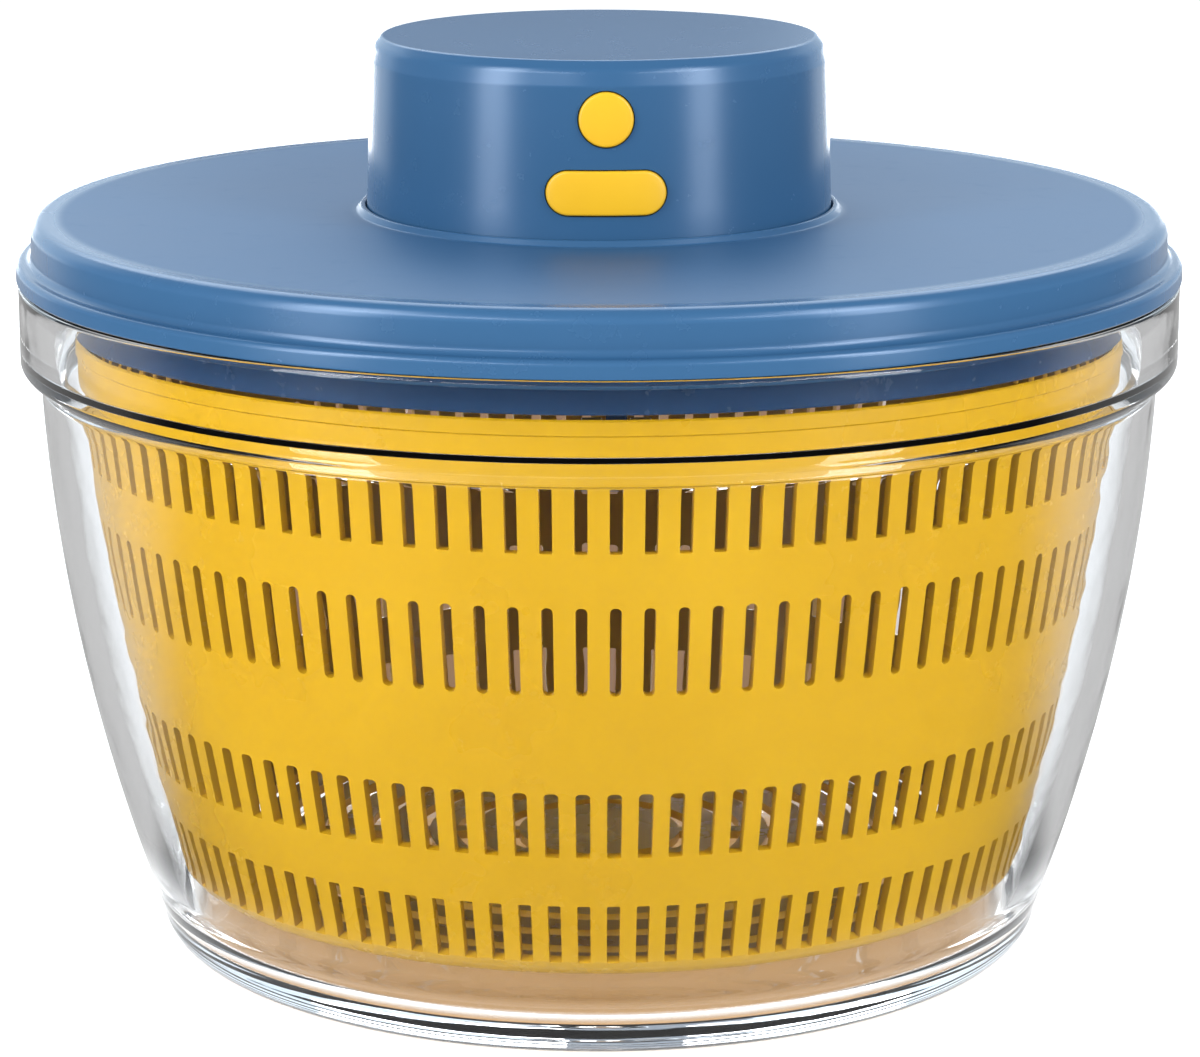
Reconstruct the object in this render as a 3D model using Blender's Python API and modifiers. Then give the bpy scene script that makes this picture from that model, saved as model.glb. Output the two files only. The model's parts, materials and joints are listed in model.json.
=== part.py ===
"""Rechargeable electric salad spinner: a clear bowl, a slotted basket and a motor lid.

Lengths are in metres and +Z is up. The origin is the middle of the bowl's base, and the two
buttons face -Y. Every height is worked out from the bowl's rim and the lid's top.
"""
import math

import bmesh
import bpy
from mathutils import Matrix, Vector

# How finely round pieces are divided, by size.
LARGE_STEPS = 32
SMALL_STEPS = 20
TINY_STEPS = 8

# Clearances.
TOUCH_GAP = 0.0003
RUNNING_GAP = 0.00015
CUTTER_OVERSHOOT = 0.001
JOIN_DEPTH = 0.0010
SMALL_CHAMFER = 0.0006
SHAFT_CHAMFER = 0.0004
DRILL_TURN = math.radians(7)

# Bowl.
BOWL_HEIGHT = 0.1450
COLLAR_RADIUS = 0.1246
COLLAR_HEIGHT = 0.0170
COLLAR_WALL = 0.0071
SHOULDER_HEIGHT = 0.0055
SHOULDER_STEP = 0.0043
FOOT_INSET = 0.0230
BOWL_BULGE = 0.0044
BOWL_WALL = 0.0050
BOWL_FLOOR = 0.0060
FOOT_CORNER = 0.0060
INNER_CORNER = 0.0085
LEDGE_RISE = 0.0015
SLOPE_STEP = 0.001
RIM_ROUNDING = 0.0012
PEG_RADIUS = 0.0050
PEG_HEIGHT = 0.0080
PEG_CHAMFER = 0.0010

# Basket.
BASKET_FLOOR_GAP = 0.0107
BASKET_WALL = 0.0019
BASKET_TOP_CLEARANCE = 0.0032
BASKET_FOOT_CLEARANCE = 0.0028
BASKET_BULGE = 0.0024
BASKET_CORNER = 0.0040
RIM_BAND_HEIGHT = 0.0105
RIM_BAND_STEP = 0.0013
RIM_HEADROOM = 0.0010
SLOT_COUNT = 32
# Each row of slots: its top and bottom as shares of the wall's height from the rim band
# down, and the share of the pitch that is open.
SLOT_ROWS = (
    (0.012, 0.152, 0.38),
    (0.253, 0.422, 0.34),
    (0.615, 0.744, 0.46),
    (0.844, 0.970, 0.44),
)
FLOOR_SLOT_WIDTH = 0.0042
FLOOR_SLOT_PITCH = 0.0190
FLOOR_SLOT_RINGS = 3
FLOOR_SLOT_MARGIN = 0.0100
FLOOR_SPOKES = 4
BOSS_WALL = 0.0022
BOSS_DROP = 0.0070
DOG_COUNT = 4
DOG_LENGTH = 0.0040
DOG_DEPTH = 0.0032
DOG_HEIGHT = 0.0060

# Pivot bush between the bowl's peg and the basket.
BUSH_WALL = 0.0028
BUSH_CHAMFER = 0.0008

# Lid.
LID_OVERHANG = 0.0004
LID_HEIGHT = 0.0128
LID_WALL = 0.0025
LID_EDGE_RADIUS = 0.0030
LID_FLANGE_HEIGHT = 0.0038
LID_FLANGE_STEP = 0.0034
LID_FLANGE_ROUNDING = 0.0014
SKIRT_DEPTH = 0.0032
SKIRT_WALL = 0.0016
SKIRT_GAP = 0.0005
LIP_HEIGHT = 0.0013
LIP_WIDTH = 0.0019
LID_OPENING_RADIUS = 0.0330

# Motor housing: the round hub on the lid.
HUB_HEIGHT = 0.0374
HUB_RADIUS = 0.0500
HUB_TAPER = 0.0013
HUB_WALL = 0.0025
HUB_EDGE_WIDTH = 0.0026
HUB_EDGE_DROP = 0.0045
HUB_SEAT_DEPTH = 0.0008
HUB_BOSS_RADIUS = 0.0030
HUB_BOSS_BITE = 0.0004
OPENING_OUTSIDE = 0.0050
OPENING_INSIDE = 0.0150

# Drive disc.
DISC_RIM_DROP = 0.0085
DISC_RIM_RADIUS_GAP = 0.0032
DISC_RIM_WALL = 0.0022
DISC_WEB = 0.0018
DISC_HUB_WALL = 0.0038
DISC_CONE_RISE = 0.0038
DISC_CONE_GAP = 0.0020
DISC_WEB_GAP = 0.0017
DISC_HUB_GAP = 0.0005
DISC_SCREW_LENGTH = 0.0080
LUG_SIDE_GAP = 0.0006
LUG_WALL_GAP = 0.0008
LUG_FOOT_GAP = 0.0010

# Gear train: motor pinion to the idler's wheel, the idler's pinion to the output gear.
GEAR_MODULE = 0.0008
MOTOR_TEETH = 10
IDLER_WHEEL_TEETH = 38
IDLER_PINION_TEETH = 12
OUTPUT_TEETH = 40
OUTPUT_FACE = 0.0032
IDLER_WHEEL_FACE = 0.0026
GEAR_SIDE_GAP = 0.0005
IDLER_ANGLE = math.radians(180)
MOTOR_ANGLE = math.radians(-50)
IDLER_PIN_RADIUS = 0.0015
IDLER_PIN_RISE = 0.0016
PINION_RISE = 0.0014
PINION_DROP = 0.0002
PINION_HOLE_GAP = 0.0004

# Gearbox.
TRAY_RADIUS = 0.0410
TRAY_WALL = 0.0020
TRAY_HEIGHT = 0.0093
TRAY_NECK_DEPTH = 0.0044
TRAY_NECK_WALL = 0.0020
BOSS_RADIUS = 0.0030
BOSS_BITE = 0.0003
BOSS_HOLE_FLOOR = 0.0035
MOTOR_PLATE_GAP = 0.0008
MOTOR_PLATE_THICKNESS = 0.0020
OUTPUT_SHAFT_RADIUS = 0.0040
BEARING_WALL = 0.0028
UPPER_BEARING_HEIGHT = 0.0036
SEAL_HEIGHT = 0.0013
SHAFT_TAIL = 0.0024
SHAFT_HOLE_DEPTH = 0.0090

# Motor.
MOTOR_RADIUS = 0.0122
MOTOR_LENGTH = 0.0270
MOTOR_CAN_WALL = 0.0010
MOTOR_CAN_FLOOR = 0.0020
MOTOR_CAP_HEIGHT = 0.0024
MOTOR_SHAFT_RADIUS = 0.00115
MOTOR_SHAFT_TOP_GAP = 0.0012
MOTOR_SCREW_SPACING = 0.0160
MOTOR_SCREW_LENGTH = 0.0042
ARMATURE_RADIUS = 0.0085
ARMATURE_FOOT_GAP = 0.0025
ARMATURE_HEAD_GAP = 0.0040
CAP_INSET = 0.0008
CAP_BOSS_SHARE = 0.45
CAP_STEP_SHARE = 0.5

# Battery.
CELL_RADIUS = 0.0071
CELL_LENGTH = 0.0500
CELL_OFFSET = 0.0248
HOLDER_WALL = 0.0012
HOLDER_RIM_DROP = 0.0040
CELL_NUB_SHARE = 0.38
CELL_NUB_HEIGHT = 0.0012

# Circuit board, its switches and the buttons.
BOARD_WIDTH = 0.0330
BOARD_HEIGHT = 0.0285
BOARD_THICKNESS = 0.0016
BOARD_CLEARANCE = 0.0006
BOARD_SCREW_INSET = 0.0030
BOARD_SCREW_DROP = 0.0065
BOARD_SCREW_LENGTH = 0.0048
BOARD_HOLE_REACH = 0.0040
BOARD_POST_HALF = 0.0028
BOARD_POST_DEPTH = 0.0050
BOARD_POST_DROP = 0.0030
SWITCH_SIZE = 0.0060
SWITCH_HEIGHT = 0.0025
ROUND_BUTTON_RADIUS = 0.00560
ROUND_BUTTON_HEIGHT = 0.0257
PILL_BUTTON_WIDTH = 0.0246
PILL_BUTTON_DEPTH = 0.0091
PILL_BUTTON_HEIGHT = 0.0107
BUTTON_PROUD = 0.0010
BUTTON_GAP = 0.00025
BUTTON_FLANGE = 0.0010
BUTTON_FLANGE_THICKNESS = 0.0010
BUTTON_FLANGE_GAP = 0.0008
BUTTON_SKIN_HALF = 0.0200
BUTTON_BLANK = 0.0060
BUTTON_TRAVEL = 0.0010
BUTTON_STEM_RADIUS = 0.0016

# Charging socket at the back of the hub.
SOCKET_WIDTH = 0.0092
SOCKET_HEIGHT = 0.0034
SOCKET_DEPTH = 0.0074
SOCKET_SHELL = 0.0004
SOCKET_RISE = 0.0080
SOCKET_WALL_SHARE = 0.6
SOCKET_BACK_WALL = 0.0008
PLUG_HEAD_WIDTH = 0.0130
PLUG_HEAD_HEIGHT = 0.0068
PLUG_HEAD_THICKNESS = 0.0014
PLUG_REACH = 0.0050
PLUG_JOIN = 0.0004

# Screws: head radius, head height, shank radius.
PLASTIC_SCREW = (0.0025, 0.0016, 0.0012)
MACHINE_SCREW = (0.0018, 0.0011, 0.0010)
PLASTIC_SCREW_ANGLES = (90, 210, 330)
HOUSING_SCREW_ANGLES = (0, 120, 240)
PLASTIC_SCREW_LENGTH = 0.0100

COLOURS = {
    "clear_plastic": ((0.86, 0.90, 0.93), 0.05, 0.0),
    "yellow_plastic": ((0.80, 0.49, 0.02), 0.30, 0.0),
    "button_yellow": ((1.00, 0.66, 0.03), 0.35, 0.0),
    "blue_plastic": ((0.07, 0.17, 0.33), 0.35, 0.0),
    "dark_blue_plastic": ((0.02, 0.07, 0.17), 0.25, 0.0),
    "white_acetal": ((0.78, 0.77, 0.72), 0.40, 0.0),
    "grey_plastic": ((0.16, 0.17, 0.18), 0.50, 0.0),
    "motor_steel": ((0.55, 0.56, 0.57), 0.30, 1.0),
    "shaft_steel": ((0.63, 0.63, 0.64), 0.22, 1.0),
    "zinc_screw": ((0.60, 0.61, 0.62), 0.35, 1.0),
    "sintered_bronze": ((0.52, 0.34, 0.16), 0.45, 1.0),
    "copper": ((0.60, 0.27, 0.14), 0.35, 1.0),
    "seal_rubber": ((0.03, 0.03, 0.03), 0.70, 0.0),
    "board_green": ((0.02, 0.14, 0.05), 0.45, 0.0),
    "switch_black": ((0.03, 0.03, 0.035), 0.40, 0.0),
    "cell_wrap": ((0.05, 0.28, 0.36), 0.35, 0.0),
    "blue_silicone": ((0.05, 0.12, 0.25), 0.60, 0.0),
}


# ---------------------------------------------------------------- places worked out once

NECK_RADIUS = COLLAR_RADIUS - SHOULDER_STEP
FOOT_RADIUS = NECK_RADIUS - FOOT_INSET
SHOULDER_TOP = BOWL_HEIGHT - COLLAR_HEIGHT
NECK_Z = SHOULDER_TOP - SHOULDER_HEIGHT
COLLAR_INNER = COLLAR_RADIUS - COLLAR_WALL
LEDGE_Z = SHOULDER_TOP + LEDGE_RISE

LID_BASE_Z = BOWL_HEIGHT + TOUCH_GAP
LID_TOP_Z = LID_BASE_Z + LID_HEIGHT
LID_UNDER_Z = LID_TOP_Z - LID_WALL
LID_RADIUS = COLLAR_RADIUS + LID_OVERHANG
LID_SIDE_RADIUS = LID_RADIUS - LID_FLANGE_STEP
HUB_BASE_Z = LID_TOP_Z - HUB_SEAT_DEPTH + TOUCH_GAP
HUB_TOP_Z = LID_TOP_Z + HUB_HEIGHT

DISC_BOTTOM_Z = LID_BASE_Z - DISC_RIM_DROP
DISC_RADIUS = COLLAR_INNER - DISC_RIM_RADIUS_GAP
BASKET_TOP_Z = DISC_BOTTOM_Z - RIM_HEADROOM
BASKET_BAND_Z = BASKET_TOP_Z - RIM_BAND_HEIGHT
BASKET_BOTTOM_Z = BOWL_FLOOR + BASKET_FLOOR_GAP
BUSH_RADIUS = PEG_RADIUS + RUNNING_GAP + BUSH_WALL
BOSS_INNER = BUSH_RADIUS + TOUCH_GAP

TRAY_TOP_Z = LID_UNDER_Z - TOUCH_GAP
TRAY_BOTTOM_Z = TRAY_TOP_Z - TRAY_HEIGHT
TRAY_FLOOR_Z = TRAY_BOTTOM_Z + TRAY_WALL
TRAY_NECK_Z = TRAY_BOTTOM_Z - TRAY_NECK_DEPTH
MOTOR_PLATE_Z = LID_TOP_Z + TOUCH_GAP
DECK_Z = MOTOR_PLATE_Z + MOTOR_PLATE_THICKNESS
SHAFT_BOTTOM_Z = TRAY_NECK_Z - SHAFT_TAIL
SHAFT_TOP_Z = DECK_Z - TOUCH_GAP
BEARING_RADIUS = OUTPUT_SHAFT_RADIUS + RUNNING_GAP + BEARING_WALL
NECK_INNER = BEARING_RADIUS + TOUCH_GAP
NECK_OUTER = NECK_INNER + TRAY_NECK_WALL
SCREW_CIRCLE = TRAY_RADIUS - TRAY_WALL - BOSS_RADIUS + BOSS_BITE

OUTPUT_GEAR_Z = TRAY_FLOOR_Z + GEAR_SIDE_GAP
IDLER_WHEEL_Z = OUTPUT_GEAR_Z + OUTPUT_FACE + GEAR_SIDE_GAP
IDLER_TOP_Z = IDLER_WHEEL_Z + IDLER_WHEEL_FACE
IDLER_DISTANCE = GEAR_MODULE * (IDLER_PINION_TEETH + OUTPUT_TEETH) / 2
MOTOR_DISTANCE = GEAR_MODULE * (MOTOR_TEETH + IDLER_WHEEL_TEETH) / 2
IDLER_AXIS = Vector((math.cos(IDLER_ANGLE), math.sin(IDLER_ANGLE))) * IDLER_DISTANCE
MOTOR_AXIS = IDLER_AXIS + Vector((math.cos(MOTOR_ANGLE), math.sin(MOTOR_ANGLE))) * MOTOR_DISTANCE

MOTOR_BASE_Z = DECK_Z + TOUCH_GAP
MOTOR_CAP_Z = MOTOR_BASE_Z + MOTOR_LENGTH + TOUCH_GAP
HUB_INNER_Z = HUB_TOP_Z - HUB_WALL
HUB_INNER_RADIUS = HUB_RADIUS - HUB_TAPER - HUB_WALL
HUB_SCREW_CIRCLE = HUB_INNER_RADIUS - HUB_BOSS_RADIUS + HUB_BOSS_BITE
MOTOR_PLATE_RADIUS = HUB_SCREW_CIRCLE - HUB_BOSS_RADIUS - MOTOR_PLATE_GAP


def bulged(share, foot, top, bulge):
    """Radius of a side at a share of its height: a straight taper with an outward bow."""
    return foot + (top - foot) * share + 4 * bulge * share * (1 - share)


def bowl_radius(z):
    """Outer radius of the bowl's body at height z."""
    return bulged((z - FOOT_CORNER) / (NECK_Z - FOOT_CORNER), FOOT_RADIUS, NECK_RADIUS, BOWL_BULGE)


def bowl_inner_radius(z):
    slope = (bowl_radius(z + SLOPE_STEP) - bowl_radius(z - SLOPE_STEP)) / (2 * SLOPE_STEP)
    return bowl_radius(z) - BOWL_WALL * math.sqrt(1 + slope * slope)


def basket_radius(z):
    """Outer radius of the basket's wall at height z, below its rim band."""
    foot = bowl_inner_radius(BASKET_BOTTOM_Z) - BASKET_FOOT_CLEARANCE
    top = bowl_inner_radius(BASKET_BAND_Z) - BASKET_TOP_CLEARANCE
    share = (z - BASKET_BOTTOM_Z) / (BASKET_BAND_Z - BASKET_BOTTOM_Z)
    return bulged(share, foot, top, BASKET_BULGE)


def hub_radius(z):
    """Outer radius of the hub's tapered side at height z."""
    return HUB_RADIUS - HUB_TAPER * (z - LID_TOP_Z) / HUB_HEIGHT


# ---------------------------------------------------------------- scene and helpers


def clear_scene():
    for obj in list(bpy.data.objects):
        bpy.data.objects.remove(obj, do_unlink=True)


def new_collection(name):
    collection = bpy.data.collections.new(name)
    bpy.context.scene.collection.children.link(collection)
    return collection


def material(slot):
    """The named Principled material, made the first time that it is asked for."""
    found = bpy.data.materials.get(slot)
    if found:
        return found
    colour, roughness, metallic = COLOURS[slot]
    made = bpy.data.materials.new(slot)
    made.use_nodes = True
    shader = made.node_tree.nodes["Principled BSDF"]
    shader.inputs["Base Color"].default_value = (*colour, 1.0)
    shader.inputs["Roughness"].default_value = roughness
    shader.inputs["Metallic"].default_value = metallic
    if slot == "clear_plastic":
        shader.inputs["Transmission Weight"].default_value = 1.0
    return made


def place(obj, slot, location=(0, 0, 0), rotation=(0, 0, 0)):
    """Puts a finished piece in the parts collection."""
    obj.location = location
    obj.rotation_euler = rotation
    obj.data.materials.clear()
    obj.data.materials.append(material(slot))
    parts.objects.link(obj)
    return obj


def as_cutter(obj, location=(0, 0, 0), rotation=(0, 0, 0)):
    """Puts a shape that cuts or joins another in the cutters collection."""
    obj.location = location
    obj.rotation_euler = rotation
    obj.hide_render = True
    obj.display_type = "WIRE"
    cutters.objects.link(obj)
    return obj


def combine(obj, other, operation="DIFFERENCE"):
    boolean = obj.modifiers.new(operation.title() + " " + other.name, "BOOLEAN")
    boolean.operation = operation
    boolean.object = other
    return obj


def arc(centre_r, centre_z, radius_r, radius_z, start, end, count):
    """Points (r, z) on a round or oval arc, angles in degrees from outwards to up."""
    points = []
    for step in range(count + 1):
        angle = math.radians(start + (end - start) * step / count)
        points.append((centre_r + radius_r * math.cos(angle), centre_z + radius_z * math.sin(angle)))
    return points


def turned(name, profile, steps, closed=True):
    """A turned piece. The profile of (r, z) points runs down its outer side."""
    mesh = bpy.data.meshes.new(name)
    form = bmesh.new()
    points = [form.verts.new((r, 0, z)) for r, z in profile]
    for first, second in zip(points, points[1:]):
        form.edges.new((first, second))
    if closed:
        form.edges.new((points[-1], points[0]))
    form.to_mesh(mesh)
    form.free()
    obj = bpy.data.objects.new(name, mesh)
    screw = obj.modifiers.new("Turn", "SCREW")
    screw.angle = math.tau
    screw.steps = steps
    screw.render_steps = steps
    screw.use_merge_vertices = True
    screw.merge_threshold = 0.00001
    screw.use_smooth_shade = True
    return obj


def ring(name, inner, outer, bottom, top, steps):
    profile = [(inner, top), (outer, top), (outer, bottom), (inner, bottom)]
    return turned(name, profile, steps)


def rod(name, radius, bottom, top, steps):
    profile = [(0, top), (radius, top), (radius, bottom), (0, bottom)]
    return turned(name, profile, steps, closed=False)


def box(name, low, high):
    """A box from its lowest corner to its highest."""
    mesh = bpy.data.meshes.new(name)
    form = bmesh.new()
    bmesh.ops.create_cube(form, size=1.0)
    size = Vector(high) - Vector(low)
    middle = (Vector(high) + Vector(low)) / 2
    bmesh.ops.scale(form, vec=size, verts=form.verts)
    bmesh.ops.translate(form, vec=middle, verts=form.verts)
    form.to_mesh(mesh)
    form.free()
    return bpy.data.objects.new(name, mesh)


def circle(radius, steps, centre=(0, 0)):
    points = []
    for step in range(steps):
        angle = math.tau * step / steps
        points.append((centre[0] + radius * math.cos(angle), centre[1] + radius * math.sin(angle)))
    return points


def pill(width, height, steps):
    """Outline of a bar with round ends, centred, with its length along X."""
    radius = height / 2
    offset = width / 2 - radius
    points = []
    for side, start in ((offset, -90), (-offset, 90)):
        for step in range(steps + 1):
            angle = math.radians(start + 180 * step / steps)
            points.append((side + radius * math.cos(angle), radius * math.sin(angle)))
    return points


def gear_outline(teeth, phase):
    """Tapered teeth, thinner than half the pitch so that they run with play."""
    pitch_radius = GEAR_MODULE * teeth / 2
    tip = pitch_radius + 0.80 * GEAR_MODULE
    root = pitch_radius - 1.10 * GEAR_MODULE
    points = []
    for tooth in range(teeth):
        middle = phase + math.tau * tooth / teeth
        for radius, share in ((root, -0.31), (tip, -0.10), (tip, 0.10), (root, 0.31)):
            angle = middle + share * math.tau / teeth
            points.append((radius * math.cos(angle), radius * math.sin(angle)))
    return points


def plate(name, outlines, bottom, top):
    """A flat piece: the first outline less the others, from bottom to top."""
    curve = bpy.data.curves.new(name, "CURVE")
    curve.dimensions = "2D"
    curve.fill_mode = "BOTH"
    curve.extrude = (top - bottom) / 2
    for outline in outlines:
        spline = curve.splines.new("POLY")
        spline.points.add(len(outline) - 1)
        spline.use_cyclic_u = True
        for point, (x, y) in zip(spline.points, outline):
            point.co = (x, y, 0, 1)
    guide = bpy.data.objects.new(name + "_outline", curve)
    bpy.context.scene.collection.objects.link(guide)
    bpy.context.view_layer.update()
    evaluated = guide.evaluated_get(bpy.context.evaluated_depsgraph_get())
    mesh = bpy.data.meshes.new_from_object(evaluated)
    mesh.name = name
    bpy.data.objects.remove(guide, do_unlink=True)
    form = bmesh.new()
    form.from_mesh(mesh)
    bmesh.ops.remove_doubles(form, verts=form.verts, dist=0.000001)
    bmesh.ops.translate(form, vec=(0, 0, (top + bottom) / 2), verts=form.verts)
    bmesh.ops.recalc_face_normals(form, faces=form.faces)
    form.to_mesh(mesh)
    form.free()
    return bpy.data.objects.new(name, mesh)


def on_circle(radius, degrees):
    angle = math.radians(degrees)
    return Vector((radius * math.cos(angle), radius * math.sin(angle)))


def screw(name, kind, length, location, rotation=(0, 0, 0)):
    """A pan-head screw whose head stands on its origin and whose shank points down."""
    head_radius, head_height, shank_radius = kind
    chamfer = head_height * 0.3
    profile = [
        (0, head_height),
        (head_radius - chamfer, head_height),
        (head_radius, head_height - chamfer),
        (head_radius, 0),
        (shank_radius, 0),
        (shank_radius, -length + shank_radius),
        (0, -length),
    ]
    return place(turned(name, profile, TINY_STEPS, closed=False), "zinc_screw", location, rotation)


# ---------------------------------------------------------------- bowl and basket


def make_bowl():
    outer = [(COLLAR_RADIUS - RIM_ROUNDING, BOWL_HEIGHT), (COLLAR_RADIUS, BOWL_HEIGHT - RIM_ROUNDING)]
    for step in range(4):
        share = step / 3
        swing = (1 - math.cos(math.pi * share)) / 2
        outer.append((COLLAR_RADIUS - SHOULDER_STEP * swing, SHOULDER_TOP - SHOULDER_HEIGHT * share))
    for step in range(1, 5):
        z = NECK_Z + (FOOT_CORNER - NECK_Z) * step / 5
        outer.append((bowl_radius(z), z))
    flat = FOOT_RADIUS - FOOT_CORNER
    outer += arc(flat, FOOT_CORNER, FOOT_CORNER, FOOT_CORNER, 0, -90, 3)
    outer.append((0, 0))

    inner_foot_z = BOWL_FLOOR + INNER_CORNER
    inner_foot = bowl_inner_radius(inner_foot_z)
    peg_top = BOWL_FLOOR + PEG_HEIGHT
    inner = [(0, peg_top), (PEG_RADIUS - PEG_CHAMFER, peg_top), (PEG_RADIUS, peg_top - PEG_CHAMFER)]
    inner.append((PEG_RADIUS, BOWL_FLOOR))
    inner += arc(inner_foot - INNER_CORNER, inner_foot_z, INNER_CORNER, INNER_CORNER, -90, 0, 3)
    for step in range(1, 6):
        z = inner_foot_z + (SHOULDER_TOP - inner_foot_z) * step / 5
        inner.append((bowl_inner_radius(z), z))
    inner.append((COLLAR_INNER, LEDGE_Z))
    inner.append((COLLAR_INNER, BOWL_HEIGHT - RIM_ROUNDING))
    inner.append((COLLAR_INNER + RIM_ROUNDING, BOWL_HEIGHT))
    profile = inner + outer
    place(turned("bowl", profile, LARGE_STEPS, closed=False), "clear_plastic")


def basket_levels():
    """Heights down the basket's wall: (radius, z, open share, row of slots below or None)."""
    wall_height = BASKET_BAND_Z - BASKET_BOTTOM_Z
    share = SLOT_ROWS[0][2]
    top_radius = basket_radius(BASKET_BAND_Z) + RIM_BAND_STEP
    levels = [(top_radius, BASKET_TOP_Z, share, False), (top_radius, BASKET_BAND_Z, share, False)]
    for top, bottom, open_share in SLOT_ROWS:
        for place_share, is_top in ((top, True), (bottom, False)):
            z = BASKET_BAND_Z - wall_height * place_share
            levels.append((basket_radius(z), z, open_share, is_top))
    corner_z = BASKET_BOTTOM_Z + BASKET_CORNER
    lowest_slot = levels[-1][1]
    foot = basket_radius(BASKET_BOTTOM_Z)
    for r, z in arc(foot - BASKET_CORNER, corner_z, BASKET_CORNER, BASKET_CORNER, 0, -90, 2)[1:]:
        if z < lowest_slot:
            levels.append((r, z, SLOT_ROWS[-1][2], False))
    return levels


def make_basket():
    """An open sheet with the slots left out, thickened inwards."""
    mesh = bpy.data.meshes.new("basket")
    form = bmesh.new()
    pitch = math.tau / SLOT_COUNT
    levels = basket_levels()
    rings = []
    for radius, z, open_share, _ in levels:
        half = open_share / 2
        level = []
        for slot in range(SLOT_COUNT):
            for side in (-half, half):
                angle = pitch * (slot + side)
                level.append(form.verts.new((radius * math.cos(angle), radius * math.sin(angle), z)))
        rings.append(level)
    around = 2 * SLOT_COUNT
    for upper, lower, level in zip(rings, rings[1:], levels):
        for column in range(around):
            slot_column = column % 2 == 0
            if slot_column and level[3]:
                continue
            after = (column + 1) % around
            form.faces.new((upper[column], lower[column], lower[after], upper[after]))

    floor_radii = []
    edge = levels[-1][0] - FLOOR_SLOT_MARGIN
    for number in range(FLOOR_SLOT_RINGS):
        outer_edge = edge - number * FLOOR_SLOT_PITCH
        floor_radii += [(outer_edge, True), (outer_edge - FLOOR_SLOT_WIDTH, False)]
    floor_radii.append((BOSS_INNER + BOSS_WALL / 2, False))
    floor_rings = []
    for radius, _ in floor_radii:
        level = []
        for slot in range(SLOT_COUNT):
            angle = pitch * (slot + 0.5)
            x, y = radius * math.cos(angle), radius * math.sin(angle)
            level.append(form.verts.new((x, y, BASKET_BOTTOM_Z)))
        floor_rings.append(level)
    last = rings[-1]
    for slot in range(SLOT_COUNT):
        after = (slot + 1) % SLOT_COUNT
        foot = (last[2 * slot + 1], floor_rings[0][slot], floor_rings[0][after])
        form.faces.new((*foot, last[(2 * slot + 3) % around], last[(2 * slot + 2) % around]))
    spoke_every = SLOT_COUNT // FLOOR_SPOKES
    for upper, lower, level in zip(floor_rings, floor_rings[1:], floor_radii):
        for column in range(SLOT_COUNT):
            if level[1] and column % spoke_every != 0:
                continue
            after = (column + 1) % SLOT_COUNT
            form.faces.new((upper[column], lower[column], lower[after], upper[after]))
    middle = form.verts.new((0, 0, BASKET_BOTTOM_Z))
    innermost = floor_rings[-1]
    for column in range(SLOT_COUNT):
        form.faces.new((innermost[column], middle, innermost[(column + 1) % SLOT_COUNT]))
    form.normal_update()
    form.to_mesh(mesh)
    form.free()

    basket = bpy.data.objects.new("basket", mesh)
    wall = basket.modifiers.new("Wall", "SOLIDIFY")
    wall.thickness = BASKET_WALL
    wall.offset = -1
    wall.use_even_offset = True
    boss_bottom = BASKET_BOTTOM_Z - BOSS_DROP
    boss_top = BASKET_BOTTOM_Z + BASKET_WALL / 2
    boss = ring("boss", BOSS_INNER, BOSS_INNER + BOSS_WALL, boss_bottom, boss_top, SMALL_STEPS)
    combine(basket, as_cutter(boss), "UNION")
    inner_face = basket_radius(BASKET_BAND_Z) + RIM_BAND_STEP - BASKET_WALL
    for number in range(DOG_COUNT):
        for side in (-1, 1):
            dog = make_block(
                f"basket_dog_{number}_{side}",
                inner_face - DOG_DEPTH,
                inner_face + BASKET_WALL / 2,
                side * (LUG_SIDE_GAP + DOG_LENGTH),
                DOG_LENGTH,
                BASKET_TOP_Z - TOUCH_GAP - DOG_HEIGHT,
                BASKET_TOP_Z - TOUCH_GAP,
                360 * number / DOG_COUNT,
            )
            combine(basket, dog, "UNION")
    place(basket, "yellow_plastic")


def make_block(name, inner, outer, offset, length, bottom, top, degrees):
    """A block on a spoke at an angle, offset sideways from it, for joining to a round piece."""
    block = box(name, (inner, offset - length / 2, bottom), (outer, offset + length / 2, top))
    return as_cutter(block, rotation=(0, 0, math.radians(degrees)))


def make_pivot_bush():
    bottom = BASKET_BOTTOM_Z - BOSS_DROP
    top = BASKET_BOTTOM_Z - TOUCH_GAP
    bore = PEG_RADIUS + RUNNING_GAP
    peg_top = BOWL_FLOOR + PEG_HEIGHT + TOUCH_GAP
    profile = [
        (0, top),
        (BUSH_RADIUS - BUSH_CHAMFER, top),
        (BUSH_RADIUS, top - BUSH_CHAMFER),
        (BUSH_RADIUS, bottom),
        (bore, bottom),
        (bore, peg_top),
        (0, peg_top),
    ]
    place(turned("pivot_bush", profile, LARGE_STEPS, closed=False), "white_acetal")


# ---------------------------------------------------------------- lid and drive disc


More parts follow.
